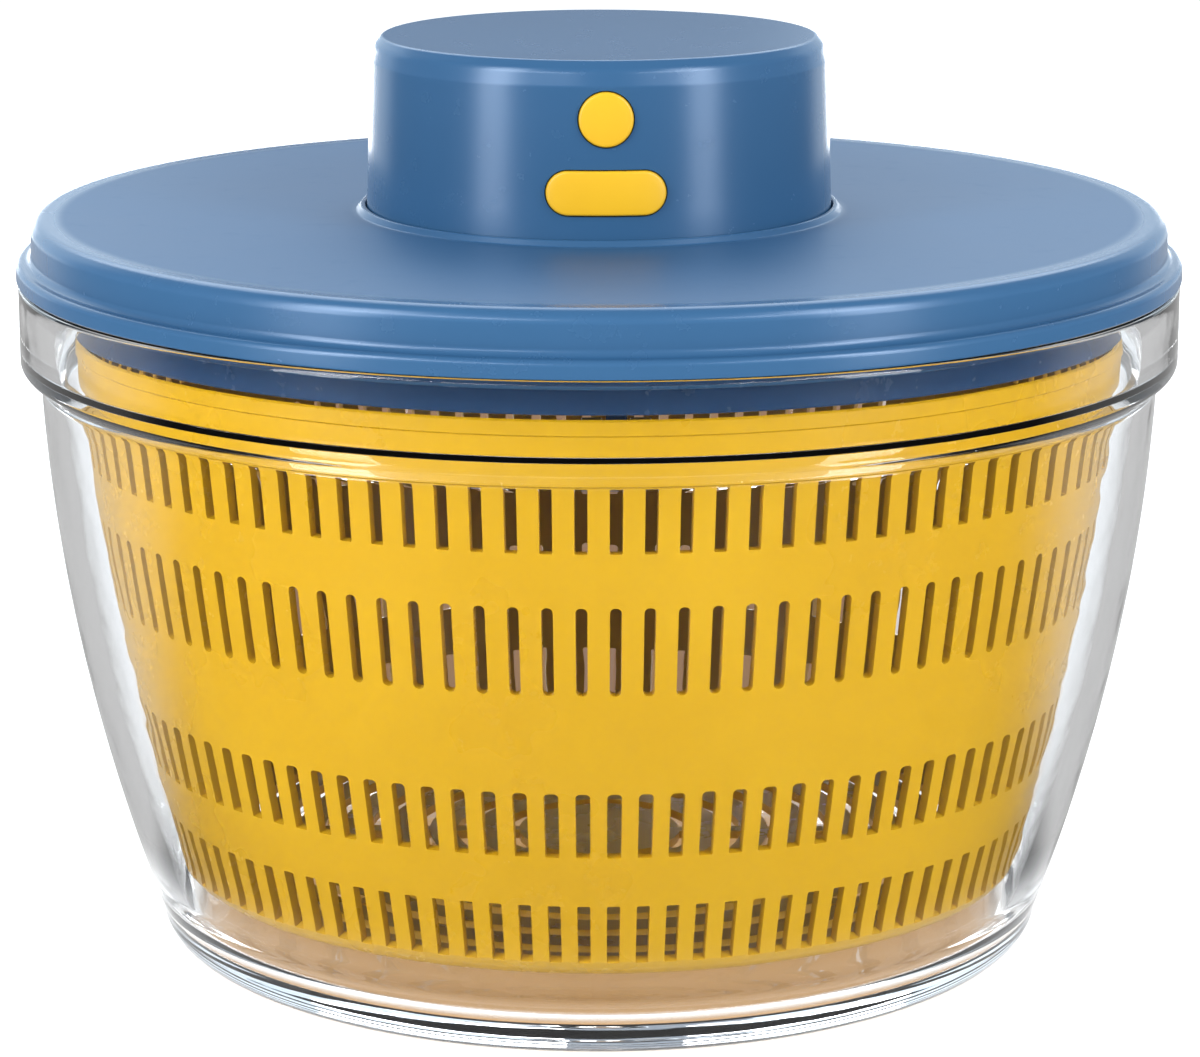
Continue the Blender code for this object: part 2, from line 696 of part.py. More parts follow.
def make_lid_shell():
    flange_top = LID_BASE_Z + LID_FLANGE_HEIGHT
    side = LID_SIDE_RADIUS
    lip_inner = HUB_RADIUS + TOUCH_GAP
    lip_outer = lip_inner + LIP_WIDTH
    seat_z = LID_TOP_Z - HUB_SEAT_DEPTH
    hub_inner = HUB_RADIUS - HUB_WALL - TOUCH_GAP
    profile = [(LID_OPENING_RADIUS, LID_TOP_Z), (hub_inner, LID_TOP_Z), (hub_inner, seat_z)]
    profile += [(lip_inner, seat_z), (lip_inner, LID_TOP_Z + LIP_HEIGHT)]
    profile.append((lip_inner + LIP_WIDTH / 2, LID_TOP_Z + LIP_HEIGHT))
    profile.append((lip_outer, LID_TOP_Z))
    edge = side - LID_EDGE_RADIUS
    profile += arc(edge, LID_TOP_Z - LID_EDGE_RADIUS, LID_EDGE_RADIUS, LID_EDGE_RADIUS, 90, 0, 3)
    step_radius = LID_FLANGE_STEP - LID_FLANGE_ROUNDING
    profile += arc(side + step_radius, flange_top + step_radius, step_radius, step_radius, 180, 270, 2)
    rounding = LID_FLANGE_ROUNDING
    profile += arc(LID_RADIUS - rounding, flange_top - rounding, rounding, rounding, 90, 0, 2)[1:]
    profile.append((LID_RADIUS, LID_BASE_Z))
    skirt_outer = COLLAR_INNER - SKIRT_GAP
    skirt_inner = skirt_outer - SKIRT_WALL
    profile += [(skirt_outer, LID_BASE_Z), (skirt_outer, LID_BASE_Z - SKIRT_DEPTH)]
    profile += [(skirt_inner, LID_BASE_Z - SKIRT_DEPTH), (skirt_inner, LID_BASE_Z + LID_WALL)]
    inner_side = side - LID_WALL
    profile += [(inner_side, flange_top + LID_WALL), (inner_side, LID_UNDER_Z)]
    profile.append((LID_OPENING_RADIUS, LID_UNDER_Z))
    lid = turned("lid_shell", profile, LARGE_STEPS)
    for number, degrees in enumerate(PLASTIC_SCREW_ANGLES):
        drill(lid, f"lid_gearbox_hole_{number}", on_circle(SCREW_CIRCLE, degrees), LID_UNDER_Z, LID_TOP_Z)
    for number, degrees in enumerate(HOUSING_SCREW_ANGLES):
        drill(lid, f"lid_housing_hole_{number}", housing_screw_place(degrees), LID_UNDER_Z, LID_TOP_Z)
    place(lid, "blue_plastic")


def drill(obj, name, centre, bottom, top, radius=PLASTIC_SCREW[2] + TOUCH_GAP):
    """Cuts an upright hole that runs past both faces, turned off the lines of the piece it cuts."""
    hole = rod(name, radius, bottom - CUTTER_OVERSHOOT, top + CUTTER_OVERSHOOT, TINY_STEPS)
    combine(obj, as_cutter(hole, (centre[0], centre[1], 0), (0, 0, DRILL_TURN)))


def housing_screw_place(degrees):
    return on_circle(HUB_SCREW_CIRCLE, degrees)


def make_drive_disc():
    rim_inner = DISC_RADIUS - DISC_RIM_WALL
    rim_top = LID_BASE_Z - TOUCH_GAP
    web_top = TRAY_BOTTOM_Z - DISC_WEB_GAP
    hub_top = TRAY_NECK_Z - DISC_HUB_GAP
    socket_floor = SHAFT_BOTTOM_Z - TOUCH_GAP
    hub_bottom = socket_floor - DISC_WEB
    hub_outer = OUTPUT_SHAFT_RADIUS + TOUCH_GAP + DISC_HUB_WALL
    low_web = web_top - DISC_CONE_RISE
    cone_start = NECK_OUTER + DISC_CONE_GAP
    cone_end = cone_start + DISC_CONE_RISE
    screw_hole = PLASTIC_SCREW[2] + TOUCH_GAP
    socket = OUTPUT_SHAFT_RADIUS + TOUCH_GAP
    profile = [
        (socket, hub_top),
        (hub_outer, hub_top),
        (hub_outer, low_web),
        (cone_start, low_web),
        (cone_end, web_top),
        (rim_inner, web_top),
        (rim_inner, rim_top),
        (DISC_RADIUS, rim_top),
        (DISC_RADIUS, DISC_BOTTOM_Z + SMALL_CHAMFER),
        (DISC_RADIUS - SMALL_CHAMFER, DISC_BOTTOM_Z),
        (rim_inner, DISC_BOTTOM_Z),
        (rim_inner, web_top - DISC_WEB),
        (cone_end, web_top - DISC_WEB),
        (cone_start, low_web - DISC_WEB),
        (hub_outer, low_web - DISC_WEB),
        (hub_outer, hub_bottom),
        (screw_hole, hub_bottom),
        (screw_hole, socket_floor),
        (socket, socket_floor),
    ]
    disc = turned("drive_disc", profile, LARGE_STEPS)
    inner_face = basket_radius(BASKET_BAND_Z) + RIM_BAND_STEP - BASKET_WALL
    for number in range(DOG_COUNT):
        lug = make_block(
            f"drive_lug_{number}",
            inner_face - DOG_DEPTH,
            inner_face - LUG_WALL_GAP,
            0,
            DOG_LENGTH,
            BASKET_TOP_Z - DOG_HEIGHT + LUG_FOOT_GAP,
            web_top - DISC_WEB / 2,
            360 * number / DOG_COUNT,
        )
        combine(disc, lug, "UNION")
    place(disc, "dark_blue_plastic")
    head_z = hub_bottom - TOUCH_GAP
    screw("disc_screw", PLASTIC_SCREW, DISC_SCREW_LENGTH, (0, 0, head_z), (math.pi, 0, 0))


# ---------------------------------------------------------------- motor housing and buttons


def hub_profile():
    edge_z = HUB_TOP_Z - HUB_EDGE_DROP
    edge_r = hub_radius(edge_z) - HUB_EDGE_WIDTH
    outer = [(0, HUB_TOP_Z)]
    outer += arc(edge_r, edge_z, HUB_EDGE_WIDTH, HUB_EDGE_DROP, 90, 0, 4)
    outer.append((hub_radius(LID_TOP_Z), LID_TOP_Z))
    outer.append((hub_radius(LID_TOP_Z), HUB_BASE_Z))
    inner_base = HUB_RADIUS - HUB_WALL
    inner_top = hub_radius(edge_z) - HUB_WALL
    inner = [(inner_base, HUB_BASE_Z), (inner_base, LID_TOP_Z), (inner_top, edge_z)]
    inner += [(inner_top - HUB_WALL, HUB_INNER_Z), (0, HUB_INNER_Z)]
    return outer + inner


def prism_along_y(name, outline, front, back, height):
    """A flat outline facing -Y, from y = front to y = back, centred at a height."""
    shape = plate(name, [outline], -back, -front)
    shape.data.transform(Matrix.Rotation(math.radians(90), 4, "X"))
    shape.data.transform(Matrix.Translation((0, 0, height)))
    return shape


def make_motor_housing():
    housing = turned("motor_housing", hub_profile(), LARGE_STEPS, closed=False)
    for number, degrees in enumerate(HOUSING_SCREW_ANGLES):
        centre = housing_screw_place(degrees)
        post_top = HUB_INNER_Z + JOIN_DEPTH
        post = rod(f"housing_boss_{number}", HUB_BOSS_RADIUS, MOTOR_PLATE_Z, post_top, TINY_STEPS)
        combine(housing, as_cutter(post, (centre[0], centre[1], 0)), "UNION")
        drill(housing, f"housing_hole_{number}", centre, MOTOR_PLATE_Z, MOTOR_PLATE_Z + PLASTIC_SCREW_LENGTH)
    outside = -HUB_RADIUS - OPENING_OUTSIDE
    inside = -HUB_RADIUS + OPENING_INSIDE
    round_hole = circle(ROUND_BUTTON_RADIUS + BUTTON_GAP, SMALL_STEPS)
    opening = prism_along_y("round_opening", round_hole, outside, inside, LID_TOP_Z + ROUND_BUTTON_HEIGHT)
    combine(housing, as_cutter(opening))
    pill_hole = pill(PILL_BUTTON_WIDTH + 2 * BUTTON_GAP, PILL_BUTTON_DEPTH + 2 * BUTTON_GAP, 6)
    opening = prism_along_y("pill_opening", pill_hole, outside, inside, LID_TOP_Z + PILL_BUTTON_HEIGHT)
    combine(housing, as_cutter(opening))
    socket_hole = pill(SOCKET_WIDTH + 2 * TOUCH_GAP, SOCKET_HEIGHT + 2 * TOUCH_GAP, 5)
    opening = prism_along_y("socket_opening", socket_hole, -inside, -outside, DECK_Z + SOCKET_RISE)
    combine(housing, as_cutter(opening))
    place(housing, "blue_plastic")
    for number, degrees in enumerate(HOUSING_SCREW_ANGLES):
        centre = housing_screw_place(degrees)
        head = (centre[0], centre[1], LID_UNDER_Z - TOUCH_GAP)
        length = MOTOR_PLATE_Z + PLASTIC_SCREW_LENGTH - LID_UNDER_Z - TOUCH_GAP
        screw(f"housing_screw_{number + 1}", PLASTIC_SCREW, length, head, (math.pi, 0, 0))


def flange_front(height, half_width):
    """The y of a button's flange face, just behind the hub's wall where its ends come nearest."""
    wall_inner = hub_radius(height) - HUB_TAPER - HUB_WALL
    return BUTTON_FLANGE_GAP - math.sqrt(wall_inner ** 2 - half_width ** 2)


def board_front():
    """The y of the circuit board's front face, clear of the wider button pressed right in."""
    pill_half = PILL_BUTTON_WIDTH / 2 + BUTTON_FLANGE
    flange_back = flange_front(LID_TOP_Z + PILL_BUTTON_HEIGHT, pill_half) + BUTTON_FLANGE_THICKNESS
    return flange_back + BUTTON_TRAVEL + TOUCH_GAP + BOARD_CLEARANCE + SWITCH_HEIGHT


def make_button(name, outline, flange_outline, height, half_width):
    """A button whose face follows the hub's side, with a flange behind the wall and a stem."""
    skin_top = hub_radius(height + BUTTON_SKIN_HALF) + BUTTON_PROUD
    skin_bottom = hub_radius(height - BUTTON_SKIN_HALF) + BUTTON_PROUD
    front = flange_front(height, half_width)
    back = front + BUTTON_FLANGE_THICKNESS
    stem_tip = board_front() - SWITCH_HEIGHT - BUTTON_TRAVEL - TOUCH_GAP
    button = prism_along_y(name, outline, -HUB_RADIUS - BUTTON_BLANK, back, 0)
    top = BUTTON_SKIN_HALF
    profile = [(0, top), (skin_top, top), (skin_bottom, -top), (0, -top)]
    skin = as_cutter(turned(name + "_skin", profile, 4 * LARGE_STEPS, closed=False), (0, 0, height))
    combine(button, skin, "INTERSECT")
    flange = prism_along_y(name + "_flange", flange_outline, front, back, 0)
    combine(button, as_cutter(flange, (0, 0, height)), "UNION")
    stem_outline = circle(BUTTON_STEM_RADIUS, TINY_STEPS)
    stem = prism_along_y(name + "_stem", stem_outline, back - BUTTON_FLANGE_THICKNESS / 2, stem_tip, 0)
    combine(button, as_cutter(stem, (0, 0, height)), "UNION")
    place(button, "button_yellow", (0, 0, height))


def make_buttons():
    outline = circle(ROUND_BUTTON_RADIUS, SMALL_STEPS)
    flange = circle(ROUND_BUTTON_RADIUS + BUTTON_FLANGE, SMALL_STEPS)
    half = ROUND_BUTTON_RADIUS + BUTTON_FLANGE
    make_button("power_button", outline, flange, LID_TOP_Z + ROUND_BUTTON_HEIGHT, half)
    outline = pill(PILL_BUTTON_WIDTH, PILL_BUTTON_DEPTH, 6)
    wide = PILL_BUTTON_WIDTH + 2 * BUTTON_FLANGE
    flange = pill(wide, PILL_BUTTON_DEPTH + 2 * BUTTON_FLANGE, 6)
    make_button("speed_button", outline, flange, LID_TOP_Z + PILL_BUTTON_HEIGHT, wide / 2)


# ---------------------------------------------------------------- gearbox


def make_gearbox_tray():
    neck_seat = TRAY_NECK_Z + SEAL_HEIGHT + TOUCH_GAP
    inner = TRAY_RADIUS - TRAY_WALL
    profile = [
        (inner, TRAY_TOP_Z),
        (TRAY_RADIUS, TRAY_TOP_Z),
        (TRAY_RADIUS, TRAY_BOTTOM_Z),
        (NECK_OUTER, TRAY_BOTTOM_Z),
        (NECK_OUTER, TRAY_NECK_Z),
        (NECK_INNER, TRAY_NECK_Z),
        (NECK_INNER, TRAY_FLOOR_Z),
        (inner, TRAY_FLOOR_Z),
    ]
    tray = turned("gearbox_tray", profile, LARGE_STEPS)
    for number, degrees in enumerate(PLASTIC_SCREW_ANGLES):
        centre = on_circle(SCREW_CIRCLE, degrees)
        post_top = TRAY_TOP_Z - TOUCH_GAP
        post = rod(f"tray_boss_{number}", BOSS_RADIUS, TRAY_BOTTOM_Z + JOIN_DEPTH, post_top, TINY_STEPS)
        combine(tray, as_cutter(post, (centre[0], centre[1], 0)), "UNION")
        drill(tray, f"tray_hole_{number}", centre, TRAY_BOTTOM_Z + BOSS_HOLE_FLOOR, TRAY_TOP_Z)
    drill(tray, "idler_pin_hole", IDLER_AXIS, TRAY_BOTTOM_Z, TRAY_FLOOR_Z, IDLER_PIN_RADIUS + TOUCH_GAP)
    place(tray, "grey_plastic")

    bearing_inner = OUTPUT_SHAFT_RADIUS + RUNNING_GAP
    lower = ring("lower_bearing", bearing_inner, BEARING_RADIUS, neck_seat, TRAY_FLOOR_Z, SMALL_STEPS)
    place(lower, "sintered_bronze")
    seal_top = neck_seat - TOUCH_GAP
    seal = ring("shaft_seal", bearing_inner, BEARING_RADIUS, TRAY_NECK_Z, seal_top, SMALL_STEPS)
    place(seal, "seal_rubber")
    upper_bottom = DECK_Z - UPPER_BEARING_HEIGHT
    upper = ring("upper_bearing", bearing_inner, BEARING_RADIUS, upper_bottom, DECK_Z, SMALL_STEPS)
    place(upper, "sintered_bronze")


def make_motor_plate():
    screw_hole = PLASTIC_SCREW[2] + TOUCH_GAP
    outlines = [circle(MOTOR_PLATE_RADIUS, LARGE_STEPS), circle(BEARING_RADIUS + TOUCH_GAP, SMALL_STEPS)]
    for degrees in PLASTIC_SCREW_ANGLES:
        outlines.append(circle(screw_hole, TINY_STEPS, on_circle(SCREW_CIRCLE, degrees)))
    pinion_hole = GEAR_MODULE * (MOTOR_TEETH + 2) / 2 + PINION_HOLE_GAP
    outlines.append(circle(pinion_hole, SMALL_STEPS, MOTOR_AXIS))
    for side in (-1, 1):
        centre = MOTOR_AXIS + Vector((side * MOTOR_SCREW_SPACING / 2, 0))
        outlines.append(circle(MACHINE_SCREW[2] + TOUCH_GAP, TINY_STEPS, centre))
    motor_plate = plate("motor_plate", outlines, MOTOR_PLATE_Z, DECK_Z)
    back = board_front() + BOARD_THICKNESS + TOUCH_GAP
    for side in (-1, 1):
        x = side * (BOARD_WIDTH / 2 - BOARD_SCREW_INSET)
        low = (x - BOARD_POST_HALF, back, DECK_Z - JOIN_DEPTH)
        high = (x + BOARD_POST_HALF, back + BOARD_POST_DEPTH, DECK_Z + BOARD_HEIGHT - BOARD_POST_DROP)
        combine(motor_plate, as_cutter(box(f"board_post_{side}", low, high)), "UNION")
        hole_radius = MACHINE_SCREW[2] + TOUCH_GAP
        hole = rod(f"board_post_hole_{side}", hole_radius, -BOARD_HOLE_REACH, CUTTER_OVERSHOOT, TINY_STEPS)
        combine(motor_plate, as_cutter(hole, (x, back, board_screw_z()), (math.radians(90), 0, 0)))
    place(motor_plate, "grey_plastic")
    for number, degrees in enumerate(PLASTIC_SCREW_ANGLES):
        centre = on_circle(SCREW_CIRCLE, degrees)
        head = (centre[0], centre[1], DECK_Z + TOUCH_GAP)
        screw(f"gearbox_screw_{number + 1}", PLASTIC_SCREW, PLASTIC_SCREW_LENGTH, head)


def place_on_axis(obj, slot, axis):
    return place(obj, slot, (axis[0], axis[1], 0))


def make_gears():
    shaft_hole = circle(OUTPUT_SHAFT_RADIUS + TOUCH_GAP, SMALL_STEPS)
    outline = gear_outline(OUTPUT_TEETH, IDLER_ANGLE)
    gear = plate("output_gear", [outline, shaft_hole], OUTPUT_GEAR_Z, OUTPUT_GEAR_Z + OUTPUT_FACE)
    place(gear, "white_acetal")

    # The idler's small teeth leave a gap where the output gear has a tooth.
    facing = IDLER_ANGLE + math.pi
    pin_hole = circle(IDLER_PIN_RADIUS + RUNNING_GAP, SMALL_STEPS)
    half_tooth = math.pi / IDLER_PINION_TEETH
    small = gear_outline(IDLER_PINION_TEETH, facing + half_tooth)
    idler = plate("idler_gear", [small, pin_hole], OUTPUT_GEAR_Z, IDLER_WHEEL_Z + JOIN_DEPTH / 2)
    wheel_outline = gear_outline(IDLER_WHEEL_TEETH, MOTOR_ANGLE)
    wheel = plate("idler_wheel", [wheel_outline, pin_hole], IDLER_WHEEL_Z, IDLER_TOP_Z)
    combine(idler, as_cutter(wheel, (IDLER_AXIS[0], IDLER_AXIS[1], 0)), "UNION")
    place_on_axis(idler, "white_acetal", IDLER_AXIS)
    pin_top = IDLER_TOP_Z + IDLER_PIN_RISE
    pin = rod("idler_pin", IDLER_PIN_RADIUS, TRAY_BOTTOM_Z + TOUCH_GAP, pin_top, SMALL_STEPS)
    place_on_axis(pin, "shaft_steel", IDLER_AXIS)

    half_tooth = math.pi / MOTOR_TEETH
    outline = gear_outline(MOTOR_TEETH, MOTOR_ANGLE + math.pi + half_tooth)
    bore = circle(MOTOR_SHAFT_RADIUS + TOUCH_GAP, TINY_STEPS)
    pinion = plate("motor_pinion", [outline, bore], IDLER_WHEEL_Z - PINION_DROP, IDLER_TOP_Z + PINION_RISE)
    place_on_axis(pinion, "shaft_steel", MOTOR_AXIS)

    hole = PLASTIC_SCREW[2] + TOUCH_GAP
    hole_top = SHAFT_BOTTOM_Z + SHAFT_HOLE_DEPTH
    profile = [
        (0, SHAFT_TOP_Z),
        (OUTPUT_SHAFT_RADIUS - SHAFT_CHAMFER, SHAFT_TOP_Z),
        (OUTPUT_SHAFT_RADIUS, SHAFT_TOP_Z - SHAFT_CHAMFER),
        (OUTPUT_SHAFT_RADIUS, SHAFT_BOTTOM_Z),
        (hole, SHAFT_BOTTOM_Z),
        (hole, hole_top),
        (0, hole_top),
    ]
    place(turned("output_shaft", profile, SMALL_STEPS, closed=False), "shaft_steel")


# ---------------------------------------------------------------- motor, battery and board


def make_motor():
    bottom = MOTOR_BASE_Z
    top = bottom + MOTOR_LENGTH
    shaft_hole = MOTOR_SHAFT_RADIUS + RUNNING_GAP
    floor = bottom + MOTOR_CAN_FLOOR
    inner = MOTOR_RADIUS - MOTOR_CAN_WALL
    profile = [
        (inner, top),
        (MOTOR_RADIUS, top),
        (MOTOR_RADIUS, bottom + SMALL_CHAMFER),
        (MOTOR_RADIUS - SMALL_CHAMFER, bottom),
        (shaft_hole, bottom),
        (shaft_hole, floor),
        (inner, floor),
    ]
    can = turned("motor_can", profile, SMALL_STEPS)
    for side in (-1, 1):
        centre = MOTOR_AXIS + Vector((side * MOTOR_SCREW_SPACING / 2, 0))
        drill(can, f"motor_can_hole_{side}", centre, bottom, floor, MACHINE_SCREW[2] + TOUCH_GAP)
        head = (centre[0], centre[1], MOTOR_PLATE_Z - TOUCH_GAP)
        number = 1 if side < 0 else 2
        screw(f"motor_screw_{number}", MACHINE_SCREW, MOTOR_SCREW_LENGTH, head, (math.pi, 0, 0))
    place_on_axis(can, "motor_steel", MOTOR_AXIS)

    cap_radius = MOTOR_RADIUS - CAP_INSET
    cap_boss = MOTOR_RADIUS * CAP_BOSS_SHARE
    cap_step_z = MOTOR_CAP_Z + MOTOR_CAP_HEIGHT * CAP_STEP_SHARE
    cap_profile = [
        (0, MOTOR_CAP_Z + MOTOR_CAP_HEIGHT),
        (cap_boss, MOTOR_CAP_Z + MOTOR_CAP_HEIGHT),
        (cap_boss, cap_step_z),
        (cap_radius, cap_step_z),
        (cap_radius, MOTOR_CAP_Z),
        (0, MOTOR_CAP_Z),
    ]
    place_on_axis(turned("motor_end_cap", cap_profile, SMALL_STEPS, closed=False), "switch_black", MOTOR_AXIS)

    shaft_top = top - MOTOR_SHAFT_TOP_GAP
    shaft = rod("motor_shaft", MOTOR_SHAFT_RADIUS, IDLER_WHEEL_Z - 2 * PINION_DROP, shaft_top, TINY_STEPS)
    place_on_axis(shaft, "shaft_steel", MOTOR_AXIS)
    armature_inner = MOTOR_SHAFT_RADIUS + TOUCH_GAP
    armature_bottom = floor + ARMATURE_FOOT_GAP
    armature_top = top - ARMATURE_HEAD_GAP
    armature = ring(
        "motor_armature", armature_inner, ARMATURE_RADIUS, armature_bottom, armature_top, TINY_STEPS
    )
    place_on_axis(armature, "copper", MOTOR_AXIS)


def make_battery():
    low = DECK_Z + TOUCH_GAP
    cavity_half = CELL_LENGTH / 2 + TOUCH_GAP
    depth_half = CELL_RADIUS + TOUCH_GAP
    top = low + HOLDER_WALL + 2 * (2 * CELL_RADIUS + TOUCH_GAP) - HOLDER_RIM_DROP
    outer_low = (-cavity_half - HOLDER_WALL, CELL_OFFSET - depth_half - HOLDER_WALL, low)
    outer_high = (cavity_half + HOLDER_WALL, CELL_OFFSET + depth_half + HOLDER_WALL, top)
    holder = box("battery_holder", outer_low, outer_high)
    cavity_low = (-cavity_half, CELL_OFFSET - depth_half, low + HOLDER_WALL)
    cavity_high = (cavity_half, CELL_OFFSET + depth_half, top + CUTTER_OVERSHOOT)
    combine(holder, as_cutter(box("battery_cavity", cavity_low, cavity_high)))
    place(holder, "grey_plastic")
    nub_radius = CELL_RADIUS * CELL_NUB_SHARE
    half = CELL_LENGTH / 2
    shoulder = half - CELL_NUB_HEIGHT
    for number, name in enumerate(("lower_battery_cell", "upper_battery_cell")):
        z = low + HOLDER_WALL + TOUCH_GAP + CELL_RADIUS + number * (2 * CELL_RADIUS + TOUCH_GAP)
        profile = [
            (0, half),
            (nub_radius, half),
            (nub_radius, shoulder),
            (CELL_RADIUS - SMALL_CHAMFER, shoulder),
            (CELL_RADIUS, shoulder - SMALL_CHAMFER),
            (CELL_RADIUS, -half),
            (0, -half),
        ]
        turn = math.radians(90 if number else -90)
        cell = turned(name, profile, SMALL_STEPS, closed=False)
        place(cell, "cell_wrap", (0, CELL_OFFSET, z), (0, turn, 0))


def board_screw_z():
    return DECK_Z + BOARD_HEIGHT - BOARD_SCREW_DROP


def make_circuit_board():
    front = board_front()
    bottom = DECK_Z + TOUCH_GAP
    low = (-BOARD_WIDTH / 2, front, bottom)
    high = (BOARD_WIDTH / 2, front + BOARD_THICKNESS, bottom + BOARD_HEIGHT)
    board = box("circuit_board", low, high)
    hole_radius = MACHINE_SCREW[2] + TOUCH_GAP
    for number, side in enumerate((-1, 1)):
        x = side * (BOARD_WIDTH / 2 - BOARD_SCREW_INSET)
        hole = rod(f"board_hole_{number}", hole_radius, -BOARD_HOLE_REACH, BOARD_HOLE_REACH, TINY_STEPS)
        combine(board, as_cutter(hole, (x, front, board_screw_z()), (math.radians(90), 0, 0)))
        head = (x, front - TOUCH_GAP, board_screw_z())
        screw(f"board_screw_{number + 1}", MACHINE_SCREW, BOARD_SCREW_LENGTH, head, (math.radians(90), 0, 0))
    place(board, "board_green")
    heights = (LID_TOP_Z + ROUND_BUTTON_HEIGHT, LID_TOP_Z + PILL_BUTTON_HEIGHT)
    for name, z in zip(("power_switch", "speed_switch"), heights):
        half = SWITCH_SIZE / 2
        back = front - TOUCH_GAP
        switch = box(name, (-half, front - SWITCH_HEIGHT, z - half), (half, back, z + half))
        place(switch, "switch_black")


def make_charging_socket():
    z = DECK_Z + SOCKET_RISE
    mouth = hub_radius(z) - HUB_WALL * SOCKET_WALL_SHARE
    back = mouth - SOCKET_DEPTH
    outline = pill(SOCKET_WIDTH, SOCKET_HEIGHT, 5)
    socket = prism_along_y("charging_socket", outline, back, mouth, z)
    bore_outline = pill(SOCKET_WIDTH - 2 * SOCKET_SHELL, SOCKET_HEIGHT - 2 * SOCKET_SHELL, 5)
    bore = prism_along_y("socket_bore", bore_outline, back + SOCKET_BACK_WALL, mouth + CUTTER_OVERSHOOT, z)
    combine(socket, as_cutter(bore))
    place(socket, "shaft_steel")
    gap = SOCKET_SHELL + TOUCH_GAP
    plug_outline = pill(SOCKET_WIDTH - 2 * gap, SOCKET_HEIGHT - 2 * gap, 5)
    head_back = hub_radius(z) + TOUCH_GAP
    plug = prism_along_y("socket_plug", plug_outline, mouth - PLUG_REACH, head_back + PLUG_JOIN, 0)
    head_outline = pill(PLUG_HEAD_WIDTH, PLUG_HEAD_HEIGHT, 6)
    head = prism_along_y("plug_head", head_outline, head_back, head_back + PLUG_HEAD_THICKNESS, 0)
    combine(plug, as_cutter(head, (0, 0, z)), "UNION")
    place(plug, "blue_silicone", (0, 0, z))


def main():
    make_bowl()
    make_pivot_bush()
    make_basket()
    make_lid_shell()
    make_drive_disc()
    make_motor_housing()
    make_buttons()
    make_gearbox_tray()
    make_motor_plate()
    make_gears()
    make_motor()
    make_battery()
    make_circuit_board()
    make_charging_socket()


clear_scene()
parts = new_collection("salad_spinner")
cutters = new_collection("cutters")
main()
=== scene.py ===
"""Looks of an electric salad spinner: clear bowl, slotted basket and a motor lid with two buttons.

Lengths are in metres and +Z is up, in the frame's own axes. The buttons face -Y.
"""

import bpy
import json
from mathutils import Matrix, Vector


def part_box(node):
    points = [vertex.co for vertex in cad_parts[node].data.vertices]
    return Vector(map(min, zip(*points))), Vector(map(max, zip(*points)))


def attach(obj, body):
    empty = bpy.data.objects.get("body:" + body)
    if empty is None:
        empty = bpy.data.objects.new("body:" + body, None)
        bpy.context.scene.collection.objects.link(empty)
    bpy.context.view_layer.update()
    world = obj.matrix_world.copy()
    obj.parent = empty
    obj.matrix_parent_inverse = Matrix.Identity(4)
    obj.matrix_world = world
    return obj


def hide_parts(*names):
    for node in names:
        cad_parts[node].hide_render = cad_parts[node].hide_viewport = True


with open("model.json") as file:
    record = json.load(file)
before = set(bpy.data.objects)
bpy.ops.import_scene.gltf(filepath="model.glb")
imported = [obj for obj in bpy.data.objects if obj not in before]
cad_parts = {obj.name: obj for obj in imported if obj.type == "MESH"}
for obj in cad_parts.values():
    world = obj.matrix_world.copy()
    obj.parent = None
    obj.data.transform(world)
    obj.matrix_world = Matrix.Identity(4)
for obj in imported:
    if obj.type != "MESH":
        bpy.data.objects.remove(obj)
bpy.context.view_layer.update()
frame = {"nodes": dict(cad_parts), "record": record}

import json
import math

import bmesh
import bpy
from bpy.props import FloatProperty, FloatVectorProperty, IntProperty, PointerProperty
from mathutils import Matrix, Vector

bl_info = {
    "name": "Salad spinner looks",
    "version": (1, 0, 0),
    "blender": (4, 5, 0),
    "location": "3D View > Sidebar > Spinner",
    "description": "Builds the visible shells, basket, buttons, finishes and studio of a salad spinner",
    "category": "Add Mesh",
}

# Heights and radii read from the frame.
BOWL_TOP, BOWL_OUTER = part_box("bowl")[1].z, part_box("bowl")[1].x
BASKET_FOOT, BASKET_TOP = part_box("basket")[0].z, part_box("basket")[1].z
DISC_LOW, DISC_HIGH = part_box("drive_disc")
LID_LOW, LID_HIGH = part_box("lid_shell")
HUB_LOW, HUB_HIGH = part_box("motor_housing")
ROUND_BOX, PILL_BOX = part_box("power_button"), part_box("speed_button")
PLUG_LOW, PLUG_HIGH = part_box("socket_plug")

TURN_STEPS = 256
SMALL_TURN_STEPS = 96
ARC_STEPS = 6
POLE = 1e-7
MERGE = 2e-6
SHARP_ANGLE = math.radians(38)

# Gaps and walls that aren't a user's choice.
TOUCH_GAP = 0.0003
LID_OVERHANG = 0.0004
SKIRT_GAP = 0.0005
SKIRT_WALL = 0.0016
LIP_WIDTH = 0.0019
HUB_REST = 0.0028
RIM_HEADROOM = 0.0010
TRAY_NECK_DEPTH = 0.0044
DISC_WALL = 0.0022
DISC_WEB = 0.0018
DISC_WEB_GAP = 0.0017
DISC_HUB_WALL = 0.0038
DISC_DISH = 0.0038
DISC_CONE_START = 0.0114
DISC_SCREW_HOLE = 0.0015
RIB_COUNT = 16
RIB_DEPTH = 0.0022
RIB_HALF_WIDTH = 0.0006
DOG_OFFSET = 0.0046
DOG_DEPTH = 0.0032
DOG_HALF_WIDTH = 0.0020
LUG_WALL_GAP = 0.0008
BUTTON_FLANGE = 0.0010
BUTTON_PROUD = 0.0010
BUTTON_DOME = 0.00018
STEM_WIDTH, STEM_HEIGHT = 0.0040, 0.0032
CUT_INSIDE, CUT_OUTSIDE = 0.030, 0.056
PLUG_HEAD = 0.0014
PLUG_BEVEL = 0.0005
TONGUE_WIDTH, TONGUE_HEIGHT = 0.0078, 0.0020

